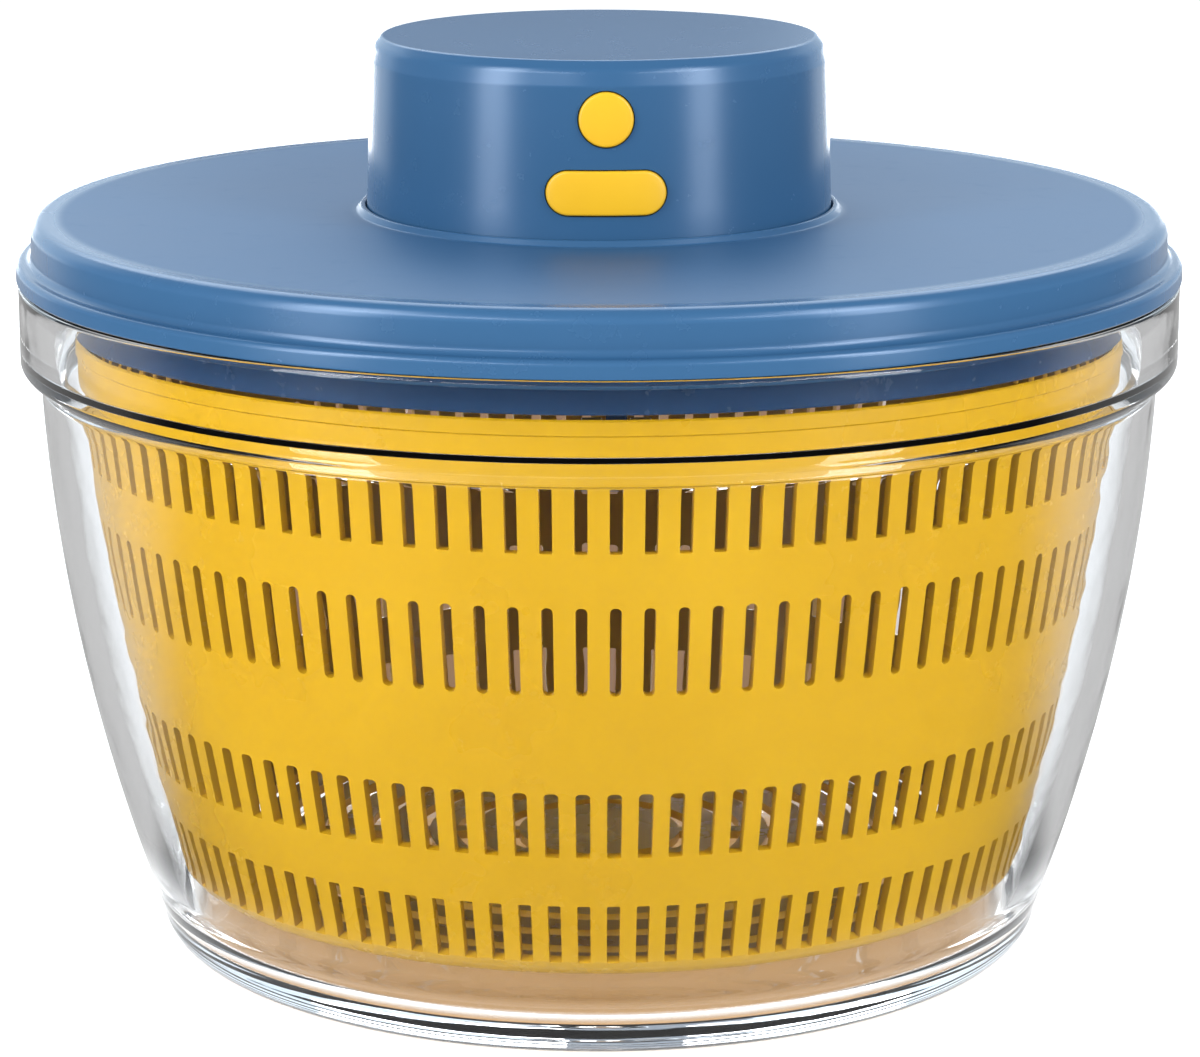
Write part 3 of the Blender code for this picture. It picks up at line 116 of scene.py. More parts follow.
# Finishes.
SCUFF_SCALE = 160.0
SOLID_BUMP = 0.5
CLEAR_BUMP = 0.25
PLASTIC_IOR = 1.49
SHADOW_TINT = (0.93, 0.93, 0.92)
RING_SOFTNESS = 0.003
MATT_EXTRA = 0.24

# Stage. Each light: name, azimuth, elevation, distance, width, height, power, colour.
FLOOR_DROP = 0.0002
FLOOR_GLOW = 0.76
# Painted light: an amber glow on the floor under the bowl, standing in for light through the basket.
PAINTED_AMBER_LIGHT_TONE, PAINTED_AMBER_LIGHT_SHARE = (0.80, 0.46, 0.18), 0.80
# Painted shade: a dark wedge on the floor behind the bowl, seen through the basket's slots.
SHADED_TONE, SHADED_SHARE = (0.27, 0.115, 0.028), 0.94
# Painted reflections: how brightly the floor glows in reflections, in front and behind.
DIM_FRONT, BRIGHT_BACK = 0.09, 0.60
SKY_TONE, SKY_STRENGTH = (0.80, 0.95, 1.15, 1.0), 0.42
LIGHT_TARGET_Z = 0.09
WHITE, COOL = (1, 1, 1), (0.78, 0.92, 1.0)
LIGHTS = (
    ("left_softbox", -54, 24, 0.95, 0.28, 0.90, 6.0, WHITE),
    ("right_softbox", 50, 24, 0.95, 0.26, 0.90, 5.2, WHITE),
    ("left_strip", -36, 31, 1.1, 0.80, 0.07, 2.4, WHITE),
    ("right_strip", 40, 31, 1.1, 0.70, 0.07, 1.9, WHITE),
    ("left_back_softbox", -148, 13, 1.1, 0.9, 0.8, 2.2, COOL),
    ("right_back_softbox", 150, 13, 1.1, 0.9, 0.8, 1.7, COOL),
    ("left_low_softbox", -166, 1, 0.95, 0.34, 0.16, 1.2, WHITE),
    ("right_low_softbox", 166, 1, 0.95, 0.34, 0.16, 1.2, WHITE),
    ("back_top_softbox", 180, 46, 1.6, 1.7, 1.0, 14, (0.90, 0.96, 1.0)),
)


# ---------------------------------------------------------------- sizes and colours a user may change


def length(name, default, description):
    return FloatProperty(
        name=name, default=default, description=description, unit="LENGTH", subtype="DISTANCE", precision=5
    )


def angle(name, degrees, description):
    return FloatProperty(name=name, default=math.radians(degrees), description=description, subtype="ANGLE")


def colour(name, default, description):
    return FloatVectorProperty(
        name=name, default=default, description=description, subtype="COLOR", size=3, min=0, max=1
    )


class BowlSizes(bpy.types.PropertyGroup):
    wall: length("Wall", 0.0050, "Thickness of the bowl's side")
    floor: length("Floor", 0.0060, "Thickness of the bowl's floor")
    collar_wall: length("Collar wall", 0.0071, "Thickness of the wide collar")
    collar_height: length("Collar height", 0.0170, "Height of the collar down to its shoulder")
    shoulder_height: length("Shoulder height", 0.0055, "Height of the curve under the collar")
    shoulder_step: length("Shoulder step", 0.0043, "How far the body sits in from the collar")
    foot_inset: length("Foot inset", 0.0230, "How far the foot sits in from the neck")
    bulge: length("Bulge", 0.0044, "Outward bow of the side")
    foot_corner: length("Foot corner", 0.0060, "Radius of the outer bottom edge")
    inner_corner: length("Inner corner", 0.0085, "Radius of the inner bottom edge")
    ledge_rise: length("Ledge rise", 0.0015, "Height of the ledge inside the collar")
    rim_rounding: length("Rim rounding", 0.0012, "Rounding of the top rim")
    peg_radius: length("Peg radius", 0.0050, "Radius of the centre peg")
    peg_height: length("Peg height", 0.0080, "Height of the centre peg above the floor")
    tint: colour("Tint", (0.965, 0.972, 0.978), "Colour of the clear plastic")


class BasketSizes(bpy.types.PropertyGroup):
    wall: length("Wall", 0.0019, "Thickness of the basket's wall")
    foot_clearance: length("Foot clearance", 0.0028, "Gap to the bowl at the foot")
    top_clearance: length("Top clearance", 0.0032, "Gap to the bowl at the band")
    bulge: length("Bulge", 0.0024, "Outward bow of the wall")
    corner: length("Corner", 0.0070, "Radius of the bottom edge")
    floor_gap: length("Floor gap", 0.0107, "Height of the basket's floor above the bowl's")
    band_height: length("Band height", 0.0105, "Height of the plain band at the rim")
    band_step: length("Band step", 0.0013, "How far the band stands out from the wall")
    lip_height: length("Lip height", 0.0031, "Height of the raised lip at the top of the band")
    slot_count: IntProperty(name="Slots", default=104, min=16, description="Slots in each row")
    spoke_count: IntProperty(name="Spokes", default=8, min=4, description="Spokes across the floor's slots")
    floor_slot_width: length("Floor slot width", 0.0038, "Width of the floor's ring slots")
    floor_slot_pitch: length("Floor slot pitch", 0.0100, "Distance between the floor's ring slots")
    dog_count: IntProperty(name="Dogs", default=4, min=2, description="Pairs of drive dogs inside the rim")
    tint: colour("Yellow", (0.585, 0.335, 0.002), "Colour of the basket")
    shade: colour("Deeper yellow", (0.545, 0.300, 0.0015), "Second tone of the basket")


class LidSizes(bpy.types.PropertyGroup):
    wall: length("Wall", 0.0025, "Thickness of the lid")
    height: length("Height", 0.0128, "Height of the lid's plate above the bowl's rim")
    flange_height: length("Flange height", 0.0038, "Height of the flange that rests on the bowl")
    flange_step: length("Flange step", 0.0034, "How far the side sits in from the flange")
    edge_radius: length("Edge radius", 0.0030, "Rounding of the plate's edge")
    opening: length("Opening", 0.0330, "Radius of the opening under the hub")
    matt_inner: length("Matt from", 0.0540, "Radius where the matt part of the plate starts")
    matt_outer: length("Matt to", 0.1140, "Radius where the matt part of the plate ends")
    tint: colour("Blue", (0.034, 0.112, 0.232), "Colour of the lid and the hub")
    shade: colour("Deeper blue", (0.031, 0.104, 0.218), "Second tone of the lid and the hub")


class HubSizes(bpy.types.PropertyGroup):
    height: length("Height", 0.0374, "Height of the hub above the lid's plate")
    taper: length("Taper", 0.0013, "How far the hub draws in towards its top")
    wall: length("Wall", 0.0025, "Thickness of the hub")
    band_height: length("Edge height", 0.0043, "Height of the sloped band round the top edge")
    band_width: length("Edge width", 0.0025, "Width of the sloped band round the top edge")
    button_gap: length("Button gap", 0.00025, "Gap round each button")
    button_bevel: length("Button bevel", 0.00055, "Rounding of each button's edge")
    button_tint: colour("Button yellow", (0.82, 0.46, 0.010), "Colour of the buttons")
    button_shade: colour("Deeper button yellow", (0.79, 0.435, 0.009), "Second tone of the buttons")


class StageSizes(bpy.types.PropertyGroup):
    camera_distance: length("Camera distance", 0.900, "Distance from the camera to its target")
    camera_height: length("Target height", 0.0868, "Height that the camera looks at")
    camera_side: length("Target side", 0.0002, "Sideways place that the camera looks at")
    camera_elevation: angle("Elevation", 13.58, "How far the camera looks down")
    camera_azimuth: angle("Azimuth", 1.7, "How far left of the buttons the camera stands")
    lens: FloatProperty(name="Lens", default=122.9, description="Focal length in millimetres", unit="CAMERA")
    floor_size: length("Floor size", 12.0, "Width of the floor")


# ---------------------------------------------------------------- profiles


def arc_points(centre, radius, start, sweep, segments):
    points = []
    for step in range(segments + 1):
        angle = start + sweep * step / segments
        points.append((centre[0] + radius * math.cos(angle), centre[1] + radius * math.sin(angle)))
    return points


def rounded(corners, closed=False, segments=ARC_STEPS):
    """A profile of (r, z, radius) corners, each turned into an arc of that radius."""
    points = []
    count = len(corners)
    for index, (r, z, radius) in enumerate(corners):
        at_end = not closed and index in (0, count - 1)
        if radius <= 0 or at_end:
            points.append((r, z))
            continue
        here = Vector((r, z))
        back = Vector(corners[index - 1][:2]) - here
        ahead = Vector(corners[(index + 1) % count][:2]) - here
        half = back.angle(ahead) / 2
        reach = min(radius / math.tan(half), 0.49 * back.length, 0.49 * ahead.length)
        radius = reach * math.tan(half)
        centre = here + (back.normalized() + ahead.normalized()).normalized() * radius / math.sin(half)
        start = here + back.normalized() * reach - centre
        end = here + ahead.normalized() * reach - centre
        start_angle = math.atan2(start.y, start.x)
        sweep = (math.atan2(end.y, end.x) - start_angle + math.pi) % math.tau - math.pi
        points += arc_points(centre, radius, start_angle, sweep, segments)
    return points


def bulged(share, foot, top, bulge):
    """Radius of a side at a share of its height: a straight taper with an outward bow."""
    return foot + (top - foot) * share + 4 * bulge * share * (1 - share)


def bowl_radius(z):
    sizes = bpy.context.scene.spinner_bowl
    neck = BOWL_OUTER - sizes.shoulder_step
    neck_z = BOWL_TOP - sizes.collar_height - sizes.shoulder_height
    share = (z - sizes.foot_corner) / (neck_z - sizes.foot_corner)
    return bulged(share, neck - sizes.foot_inset, neck, sizes.bulge)


def bowl_inner_radius(z):
    step = 0.001
    slope = (bowl_radius(z + step) - bowl_radius(z - step)) / (2 * step)
    return bowl_radius(z) - bpy.context.scene.spinner_bowl.wall * math.sqrt(1 + slope * slope)


def basket_floor_z():
    return bpy.context.scene.spinner_bowl.floor + bpy.context.scene.spinner_basket.floor_gap


def basket_band_z():
    return BASKET_TOP - bpy.context.scene.spinner_basket.band_height


def basket_radius(z):
    """Outer radius of the basket's wall at height z, below its band."""
    sizes = bpy.context.scene.spinner_basket
    low, high = basket_floor_z(), basket_band_z()
    foot = bowl_inner_radius(low) - sizes.foot_clearance
    top = bowl_inner_radius(high) - sizes.top_clearance
    return bulged((z - low) / (high - low), foot, top, sizes.bulge)


def wall_radius(z):
    """Outer radius of the basket's wall at height z, with its rounded bottom edge."""
    corner = bpy.context.scene.spinner_basket.corner
    start = basket_floor_z() + corner
    if z >= start:
        return basket_radius(z)
    return basket_radius(start) - corner + math.sqrt(corner * corner - (start - z) ** 2)


def lid_top_z():
    return BOWL_TOP + TOUCH_GAP + bpy.context.scene.spinner_lid.height


def hub_radius(z):
    """Outer radius of the hub's tapered side at height z."""
    sizes = bpy.context.scene.spinner_hub
    return HUB_HIGH.x - sizes.taper * (z - lid_top_z()) / sizes.height


# ---------------------------------------------------------------- meshes


def finish_mesh(form, name):
    """Turns a bmesh into a smooth object with sharp edges marked, standing at the origin."""
    bmesh.ops.recalc_face_normals(form, faces=form.faces)
    mesh = bpy.data.meshes.new(name)
    form.to_mesh(mesh)
    form.free()
    mesh.shade_smooth()
    mesh.set_sharp_from_angle(angle=SHARP_ANGLE)
    obj = bpy.data.objects.new(name, mesh)
    bpy.context.scene.collection.objects.link(obj)
    return obj


def turned(name, profile, steps=TURN_STEPS, closed=False):
    """A turned piece. The profile of (r, z) points runs down its outer side."""
    form = bmesh.new()
    rings = []
    for r, z in profile:
        if r < POLE:
            rings.append([form.verts.new((0, 0, z))])
            continue
        level = []
        for step in range(steps):
            angle = math.tau * step / steps
            level.append(form.verts.new((r * math.cos(angle), r * math.sin(angle), z)))
        rings.append(level)
    followers = rings[1:] + rings[:1] if closed else rings[1:]
    for upper, lower in zip(rings, followers):
        for step in range(steps):
            after = (step + 1) % steps
            if len(upper) == 1:
                form.faces.new((upper[0], lower[step], lower[after]))
            elif len(lower) == 1:
                form.faces.new((upper[step], lower[0], upper[after]))
            else:
                form.faces.new((upper[step], lower[step], lower[after], upper[after]))
    return finish_mesh(form, name)


def pill_points(width, height, arc_count=20, run_count=14):
    """Outline (x, z) of a bar with round ends, from its right end round to its left and back."""
    radius = height / 2
    offset = max(width / 2 - radius, 0.0)
    points = []
    for step in range(arc_count // 2 + 1):
        angle = math.pi * step / arc_count
        points.append((offset + radius * math.cos(angle), radius * math.sin(angle)))
    if offset > 0:
        for step in range(1, run_count):
            points.append((offset - 2 * offset * step / run_count, radius))
    for step in range(arc_count // 2 + 1):
        if offset == 0 and step == 0:
            continue
        angle = math.pi / 2 + math.pi * step / arc_count
        points.append((-offset + radius * math.cos(angle), radius * math.sin(angle)))
    mirrored = [(x, -z) for x, z in reversed(points[1:-1])]
    return points + mirrored


def bar_ring(width, height, y, z, arc_count=48, run_count=24):
    """A ring of points round a bar with round ends, at one place along Y."""
    return [(x, y, z + rise) for x, rise in pill_points(width, height, arc_count, run_count)]


def rounding(radius, steps):
    """How far in and how far back a rounded edge lies, from its face to its side."""
    angles = [math.pi / 2 * step / steps for step in range(steps + 1)]
    return [(radius * (1 - math.sin(angle)), radius * (1 - math.cos(angle))) for angle in angles]


def layered(name, layers):
    """A block made of rings of points, capped at both ends by joining each ring's upper and lower halves."""
    form = bmesh.new()
    rings = [[form.verts.new(point) for point in layer] for layer in layers]
    count = len(rings[0])
    for first, second in zip(rings, rings[1:]):
        for index in range(count):
            after = (index + 1) % count
            form.faces.new((first[index], second[index], second[after], first[after]))
    for cap in (rings[0], rings[-1]):
        for index in range(count // 2):
            corners = []
            for place in (index, index + 1, count - index - 1, (count - index) % count):
                if cap[place] not in corners:
                    corners.append(cap[place])
            form.faces.new(corners)
    return finish_mesh(form, name)


def rounded_box(form, low, high, bevel, turn=0.0):
    """Adds a box with rounded edges to a bmesh, turned about the upright axis."""
    middle = (Vector(low) + Vector(high)) / 2
    size = Vector(high) - Vector(low)
    matrix = Matrix.Rotation(turn, 4, "Z") @ Matrix.Translation(middle) @ Matrix.Diagonal((*size, 1.0))
    made = bmesh.ops.create_cube(form, size=1.0, matrix=matrix)
    edges = list({edge for vert in made["verts"] for edge in vert.link_edges})
    bmesh.ops.bevel(form, geom=edges, offset=bevel, segments=3, profile=0.5, affect="EDGES")


def with_modifiers(obj, data_name):
    """Replaces the object's mesh with its evaluated one and removes its modifiers."""
    bpy.context.view_layer.update()
    graph = bpy.context.evaluated_depsgraph_get()
    made = obj.evaluated_get(graph)
    mesh = bpy.data.meshes.new_from_object(made, preserve_all_data_layers=True, depsgraph=graph)
    mesh.name = data_name
    obj.modifiers.clear()
    obj.data = mesh
    return obj


def even_normals(obj):
    """Lets large faces decide the normals, so that flats stay flat beside small roundings."""
    weighted = obj.modifiers.new("Normals", "WEIGHTED_NORMAL")
    weighted.keep_sharp = True
    weighted.weight = 60
    return with_modifiers(obj, obj.name)


def joined(name, pieces):
    """One object from several, with their meshes joined."""
    form = bmesh.new()
    for piece in pieces:
        form.from_mesh(piece.data)
        bpy.data.objects.remove(piece, do_unlink=True)
    return finish_mesh(form, name)


# ---------------------------------------------------------------- nodes


def set_inputs(made, values):
    """Sets a node's inputs, each to a value or to a link from a node or from one of its outputs."""
    for name, value in values.items():
        if isinstance(value, bpy.types.Node):
            value = value.outputs[0]
        if isinstance(value, bpy.types.NodeSocket):
            made.id_data.links.new(value, made.inputs[name])
        else:
            made.inputs[name].default_value = value


def add_node(tree, kind, inputs, **settings):
    made = tree.nodes.new(kind)
    for name, value in settings.items():
        setattr(made, name, value)
    set_inputs(made, inputs)
    return made


def maths(tree, operation, *values, **settings):
    return add_node(tree, "ShaderNodeMath", dict(enumerate(values)), operation=operation, **settings)


def vector_maths(tree, operation, *values):
    return add_node(tree, "ShaderNodeVectorMath", dict(enumerate(values)), operation=operation)


def ranged(tree, value, low, high, start, end, kind="SMOOTHSTEP"):
    """A value that goes from start to end as another goes from low to high."""
    inputs = {"Value": value, "From Min": low, "From Max": high, "To Min": start, "To Max": end}
    return add_node(tree, "ShaderNodeMapRange", inputs, interpolation_type=kind)


def object_place(tree):
    return add_node(tree, "ShaderNodeTexCoord", {}).outputs["Object"]


def repeat_tree(name):
    """A node tree that turns copies of a shape about the upright axis and makes them real."""
    tree = bpy.data.node_groups.new(name, "GeometryNodeTree")
    face = tree.interface
    face.new_socket("Geometry", in_out="INPUT", socket_type="NodeSocketGeometry")
    count = face.new_socket("Copies", in_out="INPUT", socket_type="NodeSocketInt")
    count.default_value = 8
    count.min_value = 1
    face.new_socket("Finish", in_out="INPUT", socket_type="NodeSocketMaterial")
    face.new_socket("Geometry", in_out="OUTPUT", socket_type="NodeSocketGeometry")
    start = add_node(tree, "NodeGroupInput", {}).outputs
    line = add_node(tree, "GeometryNodeMeshLine", {"Count": start["Copies"], "Offset": (0, 0, 0)})
    share = maths(tree, "DIVIDE", add_node(tree, "GeometryNodeInputIndex", {}), start["Copies"])
    turn = add_node(tree, "ShaderNodeCombineXYZ", {"Z": maths(tree, "MULTIPLY", share, math.tau)})
    copies = {"Points": line, "Instance": start["Geometry"], "Rotation": turn}
    placed = add_node(tree, "GeometryNodeInstanceOnPoints", copies)
    real = add_node(tree, "GeometryNodeRealizeInstances", {"Geometry": placed})
    dressed = add_node(tree, "GeometryNodeSetMaterial", {"Geometry": real, "Material": start["Finish"]})
    add_node(tree, "NodeGroupOutput", {"Geometry": dressed})
    return tree


def repeated(obj, copies, plastic):
    """The object's shape turned about the upright axis that many times, as one plain mesh."""
    tree = repeat_tree("turned_copies")
    modifier = obj.modifiers.new("Copies", "NODES")
    modifier.node_group = tree
    sockets = {item.name: item.identifier for item in tree.interface.items_tree if item.in_out == "INPUT"}
    modifier[sockets["Copies"]] = copies
    modifier[sockets["Finish"]] = plastic
    with_modifiers(obj, obj.name)
    bpy.data.node_groups.remove(tree)
    return obj


# ---------------------------------------------------------------- finishes


def grain_group():
    """Moulded or ground surface: fine grain as a height, broad patches and fine scuffs as masks."""
    tree = bpy.data.node_groups.get("surface_grain")
    if tree:
        return tree
    tree = bpy.data.node_groups.new("surface_grain", "ShaderNodeTree")
    for name, default in (("Grain Scale", 900.0), ("Patch Scale", 18.0), ("Stretch", 1.0)):
        tree.interface.new_socket(name, in_out="INPUT", socket_type="NodeSocketFloat").default_value = default
    for name in ("Height", "Patches", "Scuffs"):
        tree.interface.new_socket(name, in_out="OUTPUT", socket_type="NodeSocketFloat")
    start = add_node(tree, "NodeGroupInput", {}).outputs
    stretch = add_node(tree, "ShaderNodeCombineXYZ", {"X": 1.0, "Y": 1.0, "Z": start["Stretch"]})
    where = vector_maths(tree, "MULTIPLY", object_place(tree), stretch)

    def noise(scale, detail, roughness):
        inputs = {"Vector": where, "Scale": scale, "Detail": detail, "Roughness": roughness}
        return add_node(tree, "ShaderNodeTexNoise", inputs)

    add_node(tree, "NodeGroupOutput", {
        "Height": noise(start["Grain Scale"], 3.0, 0.5),
        "Patches": noise(start["Patch Scale"], 4.0, 0.6),
        "Scuffs": ranged(tree, noise(SCUFF_SCALE, 4.0, 0.6), 0.55, 0.95, 0.0, 1.0),
    })
    return tree


def new_material(name):
    made = bpy.data.materials.new(name)
    made.use_nodes = True
    tree = made.node_tree
    return made, tree, tree.nodes["Principled BSDF"]


def add_grain(shader, grain, patch, stretch, depth, strength):
    """Gives a shader the shared grain as a bump. Gives back the group's outputs, for their masks."""
    tree = shader.id_data
    scales = {"Grain Scale": grain, "Patch Scale": patch, "Stretch": stretch}
    group = add_node(tree, "ShaderNodeGroup", scales, node_tree=grain_group()).outputs
    bump = {"Strength": strength, "Distance": depth, "Height": group["Height"]}
    set_inputs(shader, {"Normal": add_node(tree, "ShaderNodeBump", bump)})
    return group


def finish(name, tint, shade, roughness, spread, grain, depth, patch, stretch=1.0, metallic=0.0):
    """A solid finish: two tones in broad patches, roughness that wanders and scuffs, and fine grain."""
    made, tree, shader = new_material("finish_" + name)
    masks = add_grain(shader, grain, patch, stretch, depth, SOLID_BUMP)
    ramp = add_node(tree, "ShaderNodeValToRGB", {"Fac": masks["Patches"]})
    low, high = ramp.color_ramp.elements
    low.position, high.position = 0.32, 0.68
    low.color, high.color = (*shade, 1.0), (*tint, 1.0)
    blend = maths(tree, "ADD", masks["Patches"], masks["Scuffs"], use_clamp=True)
    least = max(roughness - spread, 0.0)
    wander = ranged(tree, blend, 0.3, 1.0, least, roughness + spread, "LINEAR")
    set_inputs(shader, {"Base Color": ramp, "Roughness": wander, "Metallic": metallic})
    return made


def matt_ring(made, inner, outer, extra):
    """Makes a finish rougher between two radii, for a finely textured top with polished edges."""
    tree = made.node_tree
    shader = tree.nodes["Principled BSDF"]
    flat = vector_maths(tree, "MULTIPLY", object_place(tree), (1, 1, 0))
    radius = vector_maths(tree, "LENGTH", flat).outputs["Value"]
    total = shader.inputs["Roughness"].links[0].from_socket
    for start, end, gain in (
        (inner - RING_SOFTNESS, inner, extra),
        (outer, outer + RING_SOFTNESS, -extra),
    ):
        total = maths(tree, "ADD", total, ranged(tree, radius, start, end, 0.0, gain))
    set_inputs(shader, {"Roughness": total})


def clear_finish(name, tint):
    """Clear moulded plastic with a faint ripple, which lets light through to what it holds."""
    made, tree, shader = new_material("finish_" + name)
    masks = add_grain(shader, 26.0, 9.0, 1.0, 0.0006, CLEAR_BUMP)
    wander = ranged(tree, masks["Patches"], 0.4, 0.8, 0.0, 0.03, "LINEAR")
    set_inputs(shader, {
        "Base Color": (*tint, 1.0),
        "Transmission Weight": 1.0,
        "IOR": PLASTIC_IOR,
        "Roughness": wander,
    })
    through = add_node(tree, "ShaderNodeBsdfTransparent", {"Color": (*SHADOW_TINT, 1.0)})
    shadow = add_node(tree, "ShaderNodeLightPath", {}).outputs["Is Shadow Ray"]
    mix = add_node(tree, "ShaderNodeMixShader", {"Fac": shadow, 1: shader, 2: through})
    set_inputs(tree.nodes["Material Output"], {"Surface": mix})
    return made


# Each finish: tint, deeper tint, roughness and its spread, grain's scale and depth, patches' scale,
# then how far the grain is squeezed along the axis and how metallic it is, where these aren't plain.
FINISHES = {
    "dark_blue_plastic": ((0.013, 0.048, 0.125), (0.011, 0.042, 0.110), 0.27, 0.05, 1100.0, 0.000012, 20.0),
    "white_acetal": ((0.80, 0.79, 0.74), (0.74, 0.73, 0.68), 0.42, 0.06, 1200.0, 0.00002, 60.0),
    "grey_plastic": ((0.17, 0.18, 0.19), (0.13, 0.14, 0.15), 0.50, 0.07, 1000.0, 0.00004, 40.0),
    "motor_steel": ((0.60, 0.61, 0.62), (0.50, 0.51, 0.52), 0.30, 0.08, 400.0, 0.00001, 60.0, 12.0, 1.0),
    "shaft_steel": ((0.66, 0.66, 0.67), (0.56, 0.56, 0.58), 0.20, 0.06, 600.0, 0.000008, 80.0, 10.0, 1.0),
    "zinc_screw": ((0.63, 0.64, 0.66), (0.50, 0.51, 0.50), 0.33, 0.08, 900.0, 0.00001, 200.0, 1.0, 1.0),
    "sintered_bronze": ((0.55, 0.36, 0.17), (0.42, 0.27, 0.12), 0.45, 0.09, 1800.0, 0.00003, 150.0, 1.0, 1.0),
    "copper": ((0.66, 0.29, 0.14), (0.48, 0.20, 0.10), 0.34, 0.08, 500.0, 0.00003, 120.0, 0.1, 1.0),
    "seal_rubber": ((0.030, 0.030, 0.032), (0.020, 0.020, 0.022), 0.68, 0.08, 1500.0, 0.00003, 90.0),
    "board_green": ((0.020, 0.150, 0.055), (0.012, 0.100, 0.035), 0.42, 0.08, 300.0, 0.00003, 160.0),
    "switch_black": ((0.035, 0.035, 0.040), (0.022, 0.022, 0.026), 0.42, 0.08, 1400.0, 0.00002, 120.0),
    "cell_wrap": ((0.050, 0.300, 0.380), (0.035, 0.240, 0.320), 0.33, 0.07, 250.0, 0.00002, 50.0),
    "blue_silicone": ((0.050, 0.125, 0.250), (0.040, 0.105, 0.215), 0.58, 0.06, 1300.0, 0.00002, 80.0),
}


def make_finishes():
    """Every finish, named after its slot."""
    scene = bpy.context.scene
    lid, basket, hub = scene.spinner_lid, scene.spinner_basket, scene.spinner_hub
    clear_finish("clear_plastic", scene.spinner_bowl.tint)
    finish("yellow_plastic", basket.tint, basket.shade, 0.30, 0.05, 700.0, 0.00002, 14.0)
    finish("button_yellow", hub.button_tint, hub.button_shade, 0.36, 0.04, 1500.0, 0.00001, 60.0)
    blue = finish("blue_plastic", lid.tint, lid.shade, 0.27, 0.025, 1400.0, 0.000004, 12.0, 1.0, 0.1)
    matt_ring(blue, lid.matt_inner, lid.matt_outer, MATT_EXTRA)
    for name, values in FINISHES.items():
        finish(name, *values)


def material(slot):
    if "finish_" + slot not in bpy.data.materials:
        make_finishes()
    return bpy.data.materials["finish_" + slot]


def stand_for(obj, body, slot, *nodes):
    """Gives a finished piece its material and its body, and hides the CAD nodes that it stands for."""
    obj.data.materials.clear()
    obj.data.materials.append(material(slot))
    for polygon in obj.data.polygons:
        polygon.material_index = 0
    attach(obj, body)
    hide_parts(*nodes)
    return obj


# ---------------------------------------------------------------- bowl


class SPINNER_OT_bowl(bpy.types.Operator):
    """Make the clear bowl with its collar, ledge, thick foot and centre peg"""

    bl_idname = "spinner.make_bowl"
    bl_label = "Make bowl"

    def execute(self, context):
        sizes = context.scene.spinner_bowl
        shoulder_top = BOWL_TOP - sizes.collar_height
        neck_z = shoulder_top - sizes.shoulder_height
        collar_inner = BOWL_OUTER - sizes.collar_wall
        ledge_z = shoulder_top + sizes.ledge_rise
        outer = rounded([
            (collar_inner, BOWL_TOP - 0.004, 0),
            (collar_inner, BOWL_TOP, sizes.rim_rounding),
            (BOWL_OUTER, BOWL_TOP, sizes.rim_rounding),
            (BOWL_OUTER, BOWL_TOP - 0.006, 0),
        ])
        for step in range(1, 4):
            share = step / 4
            outer.append((BOWL_OUTER, BOWL_TOP - 0.006 - (sizes.collar_height - 0.006) * share))
        for step in range(19):
            share = step / 18
            swing = (1 - math.cos(math.pi * share)) / 2
            r = BOWL_OUTER - sizes.shoulder_step * swing
            outer.append((r, shoulder_top - sizes.shoulder_height * share))
        for step in range(1, 49):
            z = neck_z + (sizes.foot_corner - neck_z) * step / 48
            outer.append((bowl_radius(z), z))
        flat = bowl_radius(sizes.foot_corner) - sizes.foot_corner
        outer += arc_points((flat, sizes.foot_corner), sizes.foot_corner, 0, -math.pi / 2, 12)[1:]
        outer += [(flat * share, 0) for share in (0.96, 0.7, 0.4, 0.15)]
        outer.append((0, 0))

        peg_top = sizes.floor + sizes.peg_height
        inner = rounded([
            (0, peg_top, 0),
            (sizes.peg_radius, peg_top, 0.0008),
            (sizes.peg_radius, sizes.floor, 0.0010),
            (sizes.peg_radius * 3, sizes.floor, 0),
        ])
        foot_z = sizes.floor + sizes.inner_corner
        foot = bowl_inner_radius(foot_z)
        inner.append((foot * 0.5, sizes.floor))
        centre = (foot - sizes.inner_corner, foot_z)
        inner += arc_points(centre, sizes.inner_corner, -math.pi / 2, math.pi / 2, 14)
        wall_top = shoulder_top - 0.0004
        for step in range(1, 48):
            z = foot_z + (wall_top - foot_z) * step / 48
            inner.append((bowl_inner_radius(z), z))
        inner += rounded([
            (bowl_inner_radius(wall_top - 0.001), wall_top - 0.001, 0),
            (bowl_inner_radius(shoulder_top), shoulder_top, 0.0003),
            (collar_inner, ledge_z, 0.0006),
            (collar_inner, BOWL_TOP - 0.0045, 0),
        ])
        bowl = turned("clear_bowl", inner + outer)
        stand_for(bowl, "bowl", "clear_plastic", "bowl")
        return {"FINISHED"}


# ---------------------------------------------------------------- basket


def slot_rows():
    """Each row of slots: top and bottom as shares of the wall below the band, open share, end roundness."""
    return (
        (0.012, 0.152, 0.375, 0.22, 0.22),
        (0.253, 0.422, 0.345, 0.90, 0.90),
        (0.615, 0.744, 0.465, 0.62, 0.22),
        (0.844, 0.962, 0.440, 0.22, 0.22),
    )


def slot_edge(half, corner, depth):
    """Half width of a slot at a depth from its end, with that corner radius."""
    if depth >= corner:
        return half
    return half - corner + math.sqrt(max(corner * corner - (corner - depth) ** 2, 0.0))


